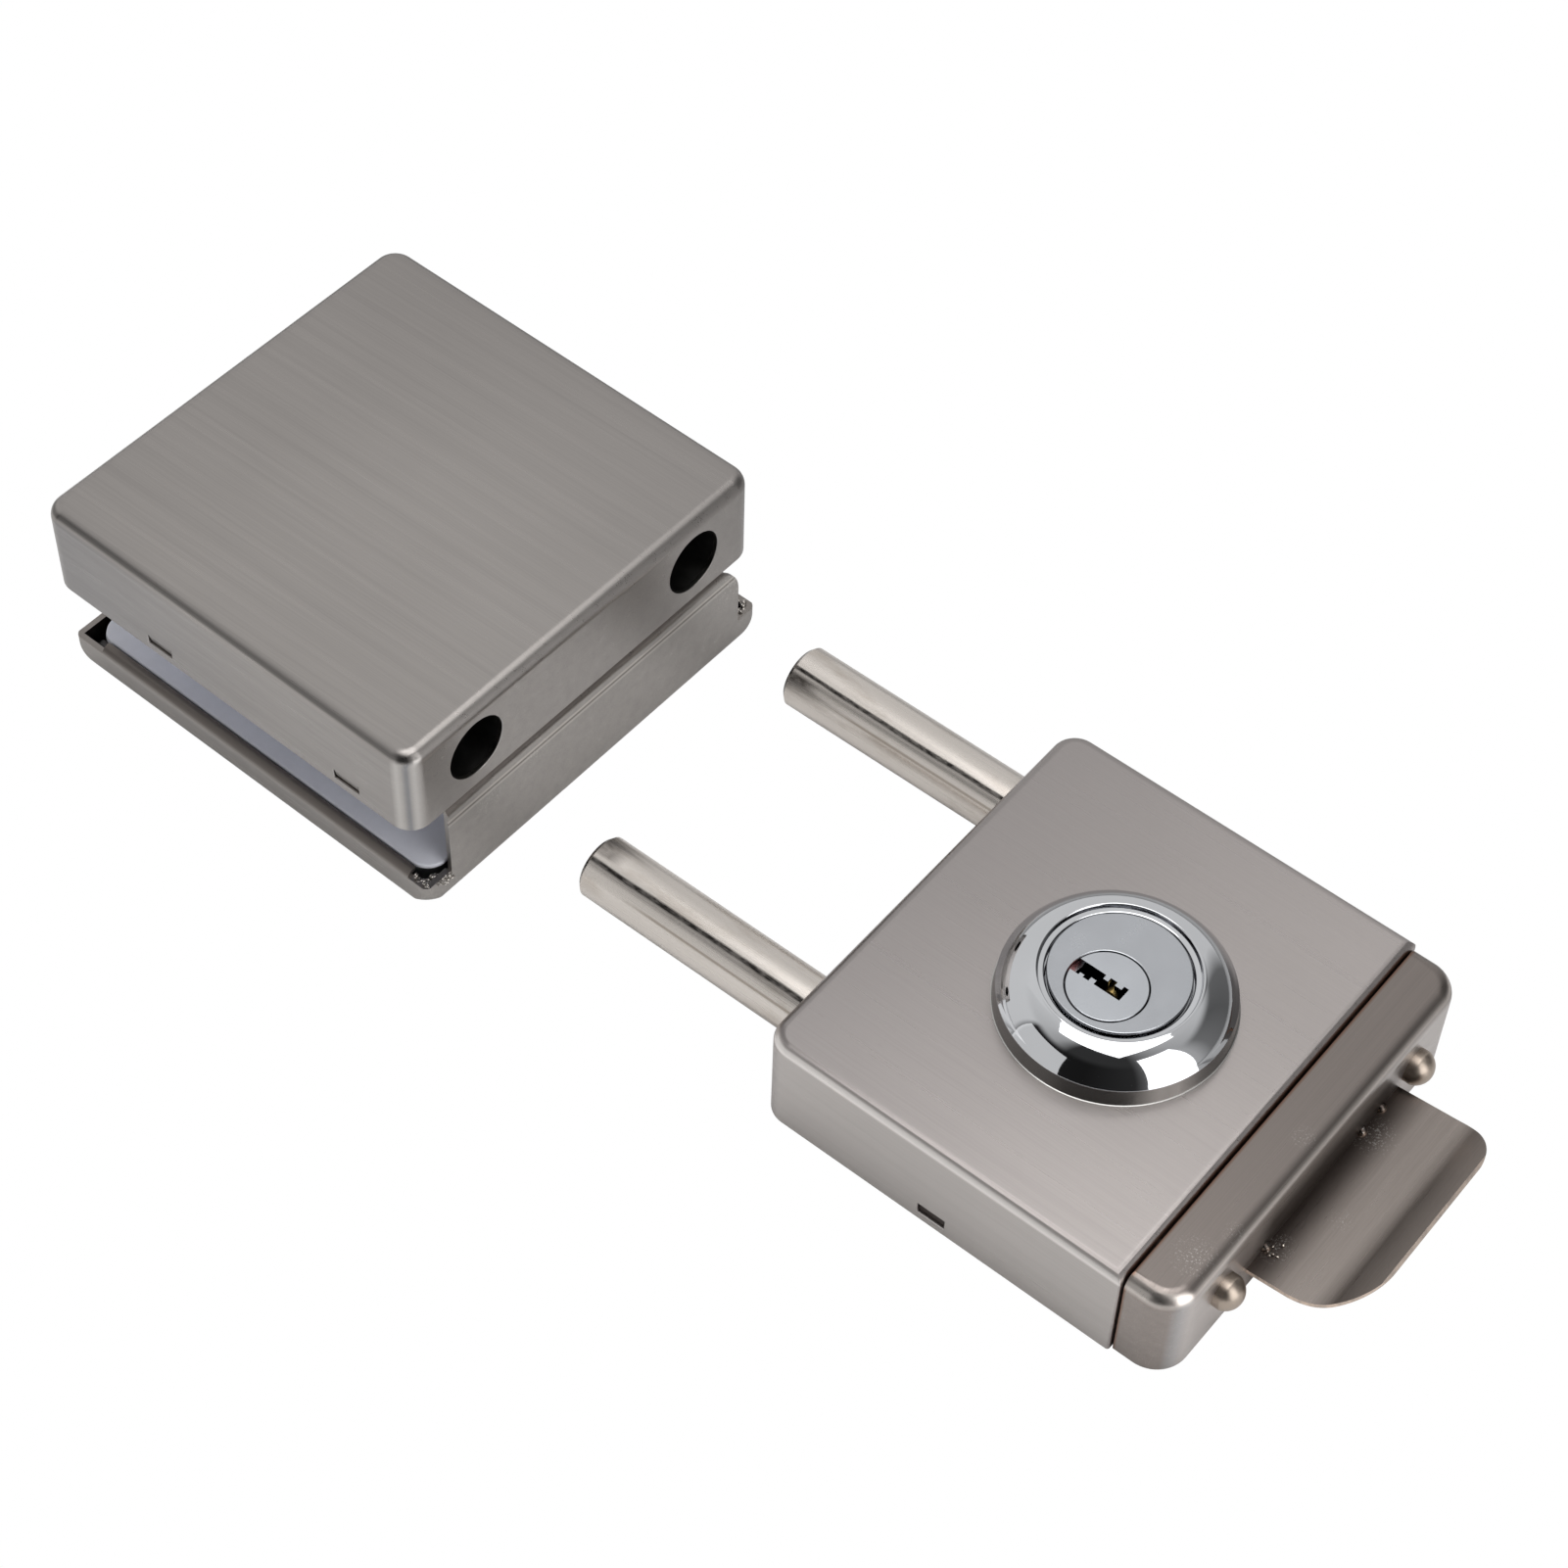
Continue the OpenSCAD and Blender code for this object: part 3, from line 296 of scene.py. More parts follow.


# painted highlights and painted shade: upright lines round a front corner, edges on the normal's
# X
def cornerStripes(tree, color, stripes):
    front = facing(tree, "Y", (-0.05, -0.2), (0.0, 1.0))
    upright = facing(tree, "Z", (0.3, 0.6), (1.0, 0.0))
    across = facingOn(tree, "X")
    for edges, tone, share in stripes:
        strip = product(tree, band(tree, across, edges), front, upright, share)
        color = mixColors(tree, strip, color, tone)
    return color


speckLook = {"scale": 2600, "limits": (0.56, 0.66), "tone": (0.72, 0.7, 0.66)}


# small pale specks in round spots: place and radius in mm, share
def addSpecks(tree, coords, color, spots):
    grains = addNoise(tree, coords, speckLook["scale"], 2.0, 0.6)
    speck = spread(tree, grains, *speckLook["limits"], 0.0, 1.0)
    for place, radius, share in spots:
        near = spread(tree, distanceFrom(tree, coords, place), 0.0, radius * mm, share, 0.0)
        color = mixColors(tree, product(tree, near, speck), color, speckLook["tone"])
    return color


# kinds of finish: detail adds to the colour, polish gives the roughness

def newMaterial(name):
    mat = bpy.data.materials.new(name)
    mat.use_nodes = True
    tree = mat.node_tree
    coords = tree.nodes.new("ShaderNodeTexCoord").outputs["Object"]
    return mat, tree, tree.nodes["Principled BSDF"], coords


grainScale = {"X": (26, 4200, 4200), "Y": (4200, 26, 4200), "Z": (4200, 4200, 26)}
grainWay = {"X": (1, 0.02, 0.01), "Y": (0.01, 1, 0.02), "Z": (0.02, 0.01, 1)}
brushing = {
    "broadScale": 0.12,  # of the fine streaks' scale
    "fineShare": 0.6,
    "broadShare": 0.4,
    "cloudScale": 18,
    "cloudTones": (0.97, 1.03),
}


def acrossGrain(tree, way):
    cross = tree.nodes.new("ShaderNodeVectorMath")
    cross.operation = "CROSS_PRODUCT"
    normal = tree.nodes.new("ShaderNodeNewGeometry").outputs["Normal"]
    tree.links.new(normal, cross.inputs[0])
    cross.inputs[1].default_value = way
    return cross.outputs[0]


def brushedSteel(name, light, dark, grain="X", rough=(0.26, 0.36), depth=0.008, aniso=0.5,
                 turn=0.0, detail=None):
    mat, tree, shader, coords = newMaterial(name)
    fine = addNoise(tree, coords, grainScale[grain], 3.0, 0.6, turn)
    broadScale = [s * brushing["broadScale"] for s in grainScale[grain]]
    broad = addNoise(tree, coords, broadScale, 2.0, 0.5, turn)
    cloud = addNoise(tree, coords, brushing["cloudScale"], 3.0, 0.5)
    streaks = calc(tree, "ADD", spread(tree, fine, 0.3, 0.7, 0.0, brushing["fineShare"]),
                   spread(tree, broad, 0.3, 0.7, 0.0, brushing["broadShare"]))
    tint = tree.nodes.new("ShaderNodeHueSaturation")
    tree.links.new(mixColors(tree, streaks, dark, light), tint.inputs["Color"])
    tree.links.new(spread(tree, cloud, 0.35, 0.65, *brushing["cloudTones"]), tint.inputs["Value"])
    shade = detail(tree, coords, tint.outputs[0]) if detail else tint.outputs[0]
    tree.links.new(shade, shader.inputs["Base Color"])
    gloss = spread(tree, streaks, 0.2, 0.9, rough[1], rough[0])
    tree.links.new(gloss, shader.inputs["Roughness"])
    addBump(tree, shader, fine, depth)
    shader.inputs["Metallic"].default_value = 1.0
    shader.inputs["Anisotropic"].default_value = aniso
    tree.links.new(acrossGrain(tree, grainWay[grain]), shader.inputs["Tangent"])
    return mat


def cloudedFinish(name, color, rough, scale, depth, dim, metal, detail=None, polish=None):
    mat, tree, shader, coords = newMaterial(name)
    cloud = addNoise(tree, coords, scale, 4.0, 0.6)
    shade = mixColors(tree, cloud, [c * dim for c in color], color)
    if detail:
        shade = detail(tree, coords, shade)
    gloss = polish(tree, coords, cloud) if polish else spread(tree, cloud, 0.3, 0.7, *rough)
    tree.links.new(shade, shader.inputs["Base Color"])
    tree.links.new(gloss, shader.inputs["Roughness"])
    if depth:
        addBump(tree, shader, cloud, depth)
    shader.inputs["Metallic"].default_value = metal
    return mat


def plainMetal(name, color, rough=(0.12, 0.2), scale=120, depth=0.0, **more):
    return cloudedFinish(name, color, rough, scale, depth, 0.9, 1.0, **more)


def matteSheet(name, color):
    return cloudedFinish(name, color, (0.47, 0.63), 300, 0.02, 0.86, 0.0)


# cover of the strike box

strikeLook = {
    "shadeFrom": (-150, -35, 43),  # mm, the cover darkens away from here
    "shadeReach": (30, 90),
    "shadeShare": 0.3,
    "shadeTone": (0.2, 0.185, 0.18),
    # painted shade: a dark line along the front bend
    "bend": ((0.45, 0.6, 0.74, 0.86), (0.1, 0.095, 0.09), 0.7),
    "wallFacing": (-0.9, -0.98),
    "farX": (-150, -200),  # mm, painted shade: the front wall darkens to its far end
    "farShare": 0.45,
    "farTone": (0.2, 0.2, 0.21),
    # painted highlights and painted shade: upright lines round the front corner
    "corner": [
        ((0.02, 0.3, 0.36, 0.64), (0.68, 0.66, 0.63), 0.55),
        ((0.5, 0.66, 0.69, 0.8), (0.2, 0.22, 0.25), 0.5),
        ((0.7, 0.84, 0.88, 0.99), (0.62, 0.6, 0.58), 0.55),
    ],
}


def strikeDetail(tree, coords, color):
    look = strikeLook
    near, far = look["shadeReach"]
    away = spread(tree, distanceFrom(tree, coords, look["shadeFrom"]), near * mm, far * mm,
                  0.0, look["shadeShare"])
    color = mixColors(tree, away, color, look["shadeTone"])
    color = paintedBendLine(tree, color, *look["bend"])
    end = product(tree, facing(tree, "Y", look["wallFacing"], (0.0, 1.0)),
                  along(tree, coords, "X", look["farX"], (0.0, look["farShare"])))
    color = mixColors(tree, end, color, look["farTone"])
    return cornerStripes(tree, color, look["corner"])


# cover of the lock box

lockLook = {
    "lidFacing": (0.84, 0.92),
    "lidX": (30, -40),  # mm, painted shade: the lid darkens to the strike box
    "lidShares": (0.08, 0.4),
    "lidTone": (0.22, 0.205, 0.205),
    # painted light: the front wall made lighter
    "wallFacing": (-0.9, -0.98),
    "wallShare": 0.3,
    "wallTone": (0.62, 0.6, 0.57),
    "edge": (-0.42, -0.24, -0.12, -0.02),  # painted shade where the lid starts to bend, on the normal's Y
    "edgeFacing": (0.8, 0.9),
    "edgeShare": 0.6,
    "edgeTone": (0.16, 0.145, 0.14),
    # painted highlight along the front bend
    "bend": ((0.2, 0.4, 0.74, 0.86), (0.92, 0.88, 0.85), 0.7),
}


def lockDetail(tree, coords, color):
    look = lockLook
    lid = product(tree, facing(tree, "Z", look["lidFacing"], (0.0, 1.0)),
                  along(tree, coords, "X", look["lidX"], look["lidShares"]))
    color = mixColors(tree, lid, color, look["lidTone"])
    wall = facing(tree, "Y", look["wallFacing"], (0.0, look["wallShare"]))
    color = mixColors(tree, wall, color, look["wallTone"])
    edge = product(tree, band(tree, facingOn(tree, "Y"), look["edge"]),
                   facing(tree, "Z", look["edgeFacing"], (0.0, look["edgeShare"])))
    color = mixColors(tree, edge, color, look["edgeTone"])
    return paintedBendLine(tree, color, *look["bend"])


# back shell of the strike box

shellLook = {  # lengths in mm
    # painted shade: darker brown on the bend of the rim, in place of its highlight
    "rimZ": (6.6, 8.0),
    "rimFacing": (0.15, 0.6),
    "rimShare": 0.85,
    "rimTone": (0.13, 0.112, 0.1),
    "flangeX": (-115.5, -115.0),
    # painted highlight and painted shade lines along the top of the flange: edges in height, tone
    "lines": [
        ((20.9, 21.1, 21.3, 21.5), (0.12, 0.1, 0.08)),
        ((21.4, 21.6, 22.0, 22.2), (0.66, 0.62, 0.57)),
        ((20.1, 20.4, 20.7, 20.9), (0.6, 0.57, 0.53)),
    ],
    "lineShare": 0.6,
    "specks": [((-113, -34, 19), 5, 0.7), ((-113, -22, 21), 5, 0.6), ((-113, 33, 20), 7, 0.7),
               ((-113, -8, 12), 4, 0.4)],
}


def shellDetail(tree, coords, color):
    look = shellLook
    rim = product(tree, along(tree, coords, "Z", look["rimZ"], (0.0, 1.0)),
                  facing(tree, "Z", look["rimFacing"], (0.0, look["rimShare"])))
    color = mixColors(tree, rim, color, look["rimTone"])
    flange = along(tree, coords, "X", look["flangeX"], (0.0, 1.0))
    height = axisOf(tree, coords, "Z")
    for edges, tone in look["lines"]:
        line = product(tree, band(tree, height, edges, mm), flange, look["lineShare"])
        color = mixColors(tree, line, color, tone)
    return addSpecks(tree, coords, color, look["specks"])


# cap that draws the rods

capLook = {  # lengths in mm
    "edgeX": (34.0, 34.5),  # brown along the open edge
    "edgeShare": 0.9,
    "edgeTone": (0.2, 0.1, 0.06),
    # painted shade on the top
    "topFacing": (0.6, 0.95),
    "topShare": 0.3,
    "topTone": (0.13, 0.11, 0.1),
    # painted light on the end wall
    "wallFacing": (0.8, 0.98),
    "wallShare": 0.6,
    "wallTone": (0.7, 0.66, 0.64),
    # shade over the finger pull
    "rootFacing": (0.5, 0.9),
    "rootZ": (21.5, 14.5),
    "rootY": (-21, -15, 21, 27),
    "rootShare": 0.9,
    "rootTone": (0.08, 0.065, 0.058),
    # painted highlight along the front bend
    "bend": ((0.2, 0.5, 0.8, 0.95), (0.8, 0.75, 0.7), 0.6),
    # a painted highlight of the same kind on the bend of the end wall
    "endFacing": (0.3, 0.5),
    "endLine": (0.4, 0.55, 0.66, 0.82),
    "endShare": 0.7,
    "endTone": (0.8, 0.73, 0.68),
    # painted highlight: an upright line round the front corner
    "corner": [((0.65, 0.8, 0.88, 0.98), (0.5, 0.52, 0.55), 0.35)],
    "specks": [((40, -33, 22), 5, 0.6), ((43, -25, 22), 3, 0.5), ((41, -2, 22), 3, 0.4)],
}


def capDetail(tree, coords, color):
    look = capLook
    edge = along(tree, coords, "X", look["edgeX"], (look["edgeShare"], 0.0))
    color = mixColors(tree, edge, color, look["edgeTone"])
    top = facing(tree, "Z", look["topFacing"], (0.0, look["topShare"]))
    color = mixColors(tree, top, color, look["topTone"])
    wall = facing(tree, "X", look["wallFacing"], (0.0, look["wallShare"]))
    color = mixColors(tree, wall, color, look["wallTone"])
    root = product(tree, facing(tree, "X", look["rootFacing"], (0.0, 1.0)),
                   along(tree, coords, "Z", look["rootZ"], (0.0, look["rootShare"])),
                   band(tree, axisOf(tree, coords, "Y"), look["rootY"], mm))
    color = mixColors(tree, root, color, look["rootTone"])
    color = paintedBendLine(tree, color, *look["bend"])
    end = product(tree, facing(tree, "X", look["endFacing"], (0.0, look["endShare"])),
                  band(tree, facingOn(tree, "Z"), look["endLine"]))
    color = mixColors(tree, end, color, look["endTone"])
    color = cornerStripes(tree, color, look["corner"])
    return addSpecks(tree, coords, color, look["specks"])


# finger pull

pullLook = {  # lengths in mm
    "rootX": (45.0, 51.5),  # painted shade where the pull leaves the cap
    "rootShare": 0.92,
    "rootTone": (0.07, 0.055, 0.048),
    "edgeFacing": (0.3, 0.75),
    "wearScale": 700,
    "wearShares": (0.4, 1.0),
    "wearTone": (0.72, 0.58, 0.48),
    "specks": [((47, 14, 9), 5, 0.6), ((46, -15, 9), 4, 0.6), ((52, -4, 10), 3, 0.3)],
}


def pullDetail(tree, coords, color):
    look = pullLook
    root = along(tree, coords, "X", look["rootX"], (look["rootShare"], 0.0))
    color = mixColors(tree, root, color, look["rootTone"])
    wear = addNoise(tree, coords, look["wearScale"], 3.0, 0.6)
    edge = product(tree, facing(tree, "Z", look["edgeFacing"], (1.0, 0.0)),
                   spread(tree, wear, 0.35, 0.6, *look["wearShares"]))
    color = mixColors(tree, edge, color, look["wearTone"])
    return addSpecks(tree, coords, color, look["specks"])


# rods: edges of bands are on the normal's Y

rodLook = {  # lengths in mm
    "stainScale": (60, 220, 220),
    "stainShare": 0.5,
    "stainTone": (0.36, 0.3, 0.24),
    # dark patch near each tip: edges, reach along X, share on the front and on the back rod
    "tips": [
        ((-0.82, -0.74, -0.64, -0.56), (-89.5, -85.5), (0.0, 1.0)),
        ((-0.3, -0.2, 0.25, 0.4), (-91.0, -86.5), (1.0, 0.0)),
    ],
    "tipScale": (260, 420, 420),
    "tipShare": 0.9,
    "tipTone": (0.06, 0.05, 0.042),
    # painted reflection: a thin brown line along the rod
    "reflectedLine": (-0.86, -0.84, -0.82, -0.79),
    "reflectedLineX": (-84, -76),
    "reflectedLineShare": 0.55,
    "reflectedLineTone": (0.2, 0.15, 0.1),
    "endX": (-93.1, -92.4),
    "endShare": 0.85,
    "endTone": (0.04, 0.035, 0.03),
    # painted reflection: a dark streak along the whole rod
    "streak": (-0.54, -0.49, -0.42, -0.37),
    "streakScale": (500, 1500, 1500),
    "streakShares": (0.75, 1.0),
    "streakTone": (0.03, 0.027, 0.025),
    "wanderScale": (40, 250, 250),
    "wander": 0.03,
}


def rodDetail(tree, coords, color):
    look = rodLook
    stain = addNoise(tree, coords, look["stainScale"], 4.0, 0.6)
    stained = spread(tree, stain, 0.52, 0.75, 0.0, look["stainShare"])
    color = mixColors(tree, stained, color, look["stainTone"])
    lean = facingOn(tree, "Y")
    wobble = spread(tree, addNoise(tree, coords, look["tipScale"], 3.0, 0.6), 0.35, 0.6, 0.6, 1.0)
    for edges, reach, sides in look["tips"]:
        tip = product(tree, band(tree, lean, edges), wobble,
                      along(tree, coords, "X", reach, (look["tipShare"], 0.0)),
                      along(tree, coords, "Y", (-1, 1), sides))
        color = mixColors(tree, tip, color, look["tipTone"])
    reflectedLine = product(tree, band(tree, lean, look["reflectedLine"]),
                   along(tree, coords, "X", look["reflectedLineX"], (0.0, look["reflectedLineShare"])))
    color = mixColors(tree, reflectedLine, color, look["reflectedLineTone"])
    end = along(tree, coords, "X", look["endX"], (look["endShare"], 0.0))
    color = mixColors(tree, end, color, look["endTone"])
    drift = addNoise(tree, coords, look["wanderScale"], 2.0, 0.5)
    bent = calc(tree, "ADD", lean, spread(tree, drift, 0.3, 0.7, -look["wander"], look["wander"]))
    gaps = addNoise(tree, coords, look["streakScale"], 3.0, 0.7)
    streak = product(tree, band(tree, bent, look["streak"]),
                     spread(tree, gaps, 0.35, 0.6, *look["streakShares"]))
    return mixColors(tree, streak, color, look["streakTone"])


# face of the cylinder and of its plug

faceLook = {
    # painted shade on surfaces that turn away from the face, drawing dark rings in the grooves
    "steepFacing": (0.8, 0.93),
    "steepShare": 0.75,
    "steepTone": (0.05, 0.05, 0.055),
    # paint left at the end of the keyway, in mm
    "markAt": (-7.3, -3.9, 29.6),
    "markReach": (1.32, 2.2),
    "markShare": 1.2,
    "markTone": (0.75, 0.2, 0.18),
    "rough": (0.24, 0.28),
    "rimFacing": (0.9, 0.985),
    "rimRough": 0.07,
}


def faceDetail(tree, coords, color):
    look = faceLook
    steep = facing(tree, "Z", look["steepFacing"], (look["steepShare"], 0.0))
    color = mixColors(tree, steep, color, look["steepTone"])
    inner, outer = look["markReach"]
    near = spread(tree, distanceFrom(tree, coords, look["markAt"]), inner * mm, outer * mm,
                  look["markShare"], 0.0)
    return mixColors(tree, product(tree, near, steep), color, look["markTone"])


def facePolish(tree, coords, cloud):
    rim = facing(tree, "Z", faceLook["rimFacing"], (1.0, 0.0))
    plain = spread(tree, cloud, 0.3, 0.7, *faceLook["rough"])
    return mixValues(tree, rim, plain, faceLook["rimRough"])


# rosette: a bright dome on a satin skirt

domeLook = {  # heights in mm
    "skirtZ": (26.0, 26.15),
    "skirtTone": (0.34, 0.335, 0.325),
    "rough": (0.26, 0.04),  # of the skirt and of the dome
    # painted highlight: a pale line at the foot of the skirt
    "footZ": (22.65, 22.8),
    "footShare": 0.2,
    "footTone": (0.95, 0.93, 0.9),
}


def domeDetail(tree, coords, color):
    look = domeLook
    skirt = along(tree, coords, "Z", look["skirtZ"], (1.0, 0.0))
    color = mixColors(tree, skirt, color, look["skirtTone"])
    foot = along(tree, coords, "Z", look["footZ"], (look["footShare"], 0.0))
    return mixColors(tree, foot, color, look["footTone"])


def domePolish(tree, coords, cloud):
    return along(tree, coords, "Z", domeLook["skirtZ"], domeLook["rough"])


# clip noses of the chassis, with painted shade in the windows of the cover

noseLook = {  # lengths in mm
    "frontY": (-42.5, -43),
    "sideX": (-60, -59),
    "share": 0.97,
    "tone": (0.03, 0.018, 0.014),
}


def noseDetail(tree, coords, color):
    nose = product(tree, along(tree, coords, "Y", noseLook["frontY"], (0.0, noseLook["share"])),
                   along(tree, coords, "X", noseLook["sideX"], (0.0, 1.0)))
    return mixColors(tree, nose, color, noseLook["tone"])


strikeTurn = math.radians(1.3)
finishes = {
    "satin_steel": brushedSteel("lockSatin", (0.435, 0.4, 0.387), (0.375, 0.345, 0.332),
                                detail=lockDetail),
    "strike_steel": brushedSteel("strikeSatin", (0.395, 0.37, 0.352), (0.335, 0.314, 0.3),
                                 turn=strikeTurn, detail=strikeDetail),
    "shell_steel": brushedSteel("shellSatin", (0.40, 0.375, 0.355), (0.33, 0.31, 0.295),
                                turn=strikeTurn, detail=shellDetail),
    "cap_steel": brushedSteel("capSatin", (0.33, 0.29, 0.268), (0.27, 0.24, 0.222), "Y",
                              detail=capDetail),
    "pull_steel": brushedSteel("pullSatin", (0.33, 0.29, 0.265), (0.27, 0.238, 0.218), "Y",
                               depth=0.006, detail=pullDetail),
    "rivet_steel": plainMetal("rivetPolish", (0.45, 0.38, 0.32), (0.3, 0.42), 900, 0.01),
    "bright_rod": brushedSteel("rodPlate", (0.70, 0.65, 0.605), (0.65, 0.605, 0.56),
                               rough=(0.2, 0.3), depth=0.002, aniso=0.2, detail=rodDetail),
    "bright_chrome": plainMetal("chromeDome", (0.68, 0.69, 0.71), scale=60, detail=domeDetail,
                                polish=domePolish),
    "cylinder_nickel": plainMetal("cylinderFace", (0.48, 0.495, 0.52), scale=140, depth=0.0006,
                                  detail=faceDetail, polish=facePolish),
    "plug_nickel": plainMetal("plugFace", (0.55, 0.57, 0.6), scale=140, depth=0.0006,
                              detail=faceDetail, polish=facePolish),
    "zinc_steel": plainMetal("zincPlate", (0.42, 0.43, 0.45), (0.3, 0.45), 200, 0.01,
                             detail=noseDetail),
    "socket_steel": plainMetal("socketTube", (0.14, 0.135, 0.13), (0.3, 0.4), 300, 0.01),
    "dark_steel": plainMetal("darkSteel", (0.06, 0.06, 0.065), (0.3, 0.45), 400, 0.01),
    "spring_wire": plainMetal("springWire", (0.4, 0.4, 0.4), (0.3, 0.4), 400),
    "brass": plainMetal("pinBrass", (0.95, 0.68, 0.26), (0.35, 0.5), 500),
    "nylon": matteSheet("whiteNylon", (0.8, 0.8, 0.76)),
    "grey_pad": matteSheet("lockPad", (0.5, 0.51, 0.57)),
    # the pad's own colour, made lighter as painted light against the shade under the cover
    "strike_pad": matteSheet("strikePadSheet", (0.85, 0.86, 0.93)),
}
slotOf = {s["node"]: s["material_slot"] for s in frame["record"]["subparts"]}
bodies = frame["record"]["behaviour"]["bodies"]
bodyOf = {n: b for b, members in bodies.items() for n in members}
for nodeName, cadObject in frame["nodes"].items():
    cadObject.data.materials.clear()
    cadObject.data.materials.append(finishes[slotOf[nodeName]])
print("finishes ready", len(finishes))


# pieces refined from the solids

shaping = {
    "mergeGap": 1e-6,  # metres
    "flatAngle": 0.2,  # degrees, faces nearer to one plane become one face
    "sharpAngle": 32,
    "bevelSteps": 2,
    "roundSteps": 3,
}
sheetPieces = [  # node, piece, width of the bevel in mm
    ("lock_cover", "lockCover", 0.4),
    ("end_cap", "endCap", 0.2),
    ("finger_pull", "fingerPull", 0.4),
    ("strike_cover", "strikeCover", 0.2),
    ("back_shell", "backShell", 0.15),
    ("lower_rod", "lowerRod", 0.0),
    ("upper_rod", "upperRod", 0.0),
    ("back_pad", "backPad", 0.3),
    ("strike_bracket", "strikeBracket", 0.2),
]


def join(piece, node, extra=False):
    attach(piece, bodyOf[node])
    if not extra:
        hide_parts(node)


def smoothFaces(mesh):
    for face in mesh.polygons:
        face.use_smooth = True
    mesh.set_sharp_from_angle(angle=math.radians(shaping["sharpAngle"]))


def roundEdges(bm, width, center, radius, height, slack=0.06):  # mm
    def onCircle(vert):
        out = math.hypot(vert.co.x - center[0] * mm, vert.co.y - center[1] * mm)
        return abs(vert.co.z - height * mm) < 1e-5 and abs(out - radius * mm) < slack * mm

    edges = [edge for edge in bm.edges if all(onCircle(vert) for vert in edge.verts)]
    bmesh.ops.bevel(bm, geom=edges, offset=width * mm, segments=shaping["roundSteps"],
                    profile=0.5, affect="EDGES")


def dressed(node, name, bevel=0.0, rounds=()):
    mesh = frame["nodes"][node].data.copy()
    mesh.name = name
    bm = bmesh.new()
    bm.from_mesh(mesh)
    bmesh.ops.remove_doubles(bm, verts=bm.verts, dist=shaping["mergeGap"])
    bmesh.ops.dissolve_limit(bm, angle_limit=math.radians(shaping["flatAngle"]),
                             verts=bm.verts, edges=bm.edges)
    for values in rounds:
        roundEdges(bm, *values)
    bm.to_mesh(mesh)
    bm.free()
    piece = bpy.data.objects.new(name, mesh)
    scene.collection.objects.link(piece)
    if bevel:
        edge = piece.modifiers.new("edgeRound", "BEVEL")
        edge.width = bevel * mm
        edge.segments = shaping["bevelSteps"]
        edge.limit_method = "ANGLE"
        edge.angle_limit = math.radians(shaping["sharpAngle"])
        edge.use_clamp_overlap = True
        edge.miter_outer = "MITER_ARC"
    smoothFaces(mesh)
    weights = piece.modifiers.new("flatFirst", "WEIGHTED_NORMAL")
    weights.mode = "FACE_AREA"
    weights.weight = 50
    weights.keep_sharp = True
    join(piece, node)


for node, name, bevel in sheetPieces:
    dressed(node, name, bevel)

cylinderLook = {  # width of the round, axis, radius and height of the edge, slack, in mm
    "face": (0.35, (0, 0), 12.75, 31.2),
    "bore": (0.34, (0, -3.75), 7.35, 31.2, 0.03),
    "plug": (0.24, (0, -3.75), 7.31, 31.2, 0.03),
}
dressed("cylinder_body", "cylinderFace", rounds=[cylinderLook["face"], cylinderLook["bore"]])
dressed("cylinder_plug", "cylinderPlug", rounds=[cylinderLook["plug"]])
print("dressed pieces ready")


# pieces grown by Geometry Nodes

def openTree(name, sockets):
    tree = bpy.data.node_groups.new(name, "GeometryNodeTree")
    for label, kind, value in sockets:
        socket = tree.interface.new_socket(label, in_out="INPUT", socket_type="NodeSocket" + kind)
        if value is not None:
            socket.default_value = value
    tree.interface.new_socket("Geometry", in_out="OUTPUT", socket_type="NodeSocketGeometry")
    return tree, tree.nodes.new("NodeGroupInput")


def closeTree(tree, shape, given):
    real = tree.nodes.new("GeometryNodeRealizeInstances")
    paint = tree.nodes.new("GeometryNodeSetMaterial")
    out = tree.nodes.new("NodeGroupOutput")
    tree.links.new(shape, real.inputs[0])
    tree.links.new(real.outputs[0], paint.inputs["Geometry"])
    tree.links.new(given.outputs["Material"], paint.inputs["Material"])
    tree.links.new(paint.outputs[0], out.inputs[0])
    return tree


def grown(name, tree, values, move=Matrix()):
    maker = bpy.data.objects.new(name, bpy.data.meshes.new(name))
    scene.collection.objects.link(maker)
    modifier = maker.modifiers.new("grow", "NODES")
    modifier.node_group = tree
    for item in tree.interface.items_tree:
        if item.in_out == "INPUT" and item.name in values:
            modifier[item.identifier] = values[item.name]
    depsgraph = bpy.context.evaluated_depsgraph_get()
    mesh = bpy.data.meshes.new_from_object(maker.evaluated_get(depsgraph))
    maker.modifiers.remove(modifier)
    mesh.transform(move)
    maker.data = mesh
    smoothFaces(mesh)
    return maker


# turned pieces: a profile of radius and height in mm, run round an axis

def arcPoints(center, radius, start, end, count):
    angles = [math.radians(start + (end - start) * i / count) for i in range(1, count + 1)]
    return [(center[0] + radius * math.cos(t), center[1] + radius * math.sin(t)) for t in angles]


def linePoints(start, end, count):
    return [tuple(a + (b - a) * i / count for a, b in zip(start, end))
            for i in range(1, count + 1)]


def profileCurve(tree, value, numbers):
    curve = tree.nodes.new("ShaderNodeFloatCurve")
    points = curve.mapping.curves[0].points
    last = len(numbers) - 1
    points[0].location = (0, numbers[0])
    points[1].location = (1, numbers[last])
    for i in range(1, last):
        points.new(i / last, numbers[i])
    for point in points:
        point.handle_type = "VECTOR"
    curve.mapping.update()
    tree.links.new(value, curve.inputs["Value"])
    return curve.outputs[0]


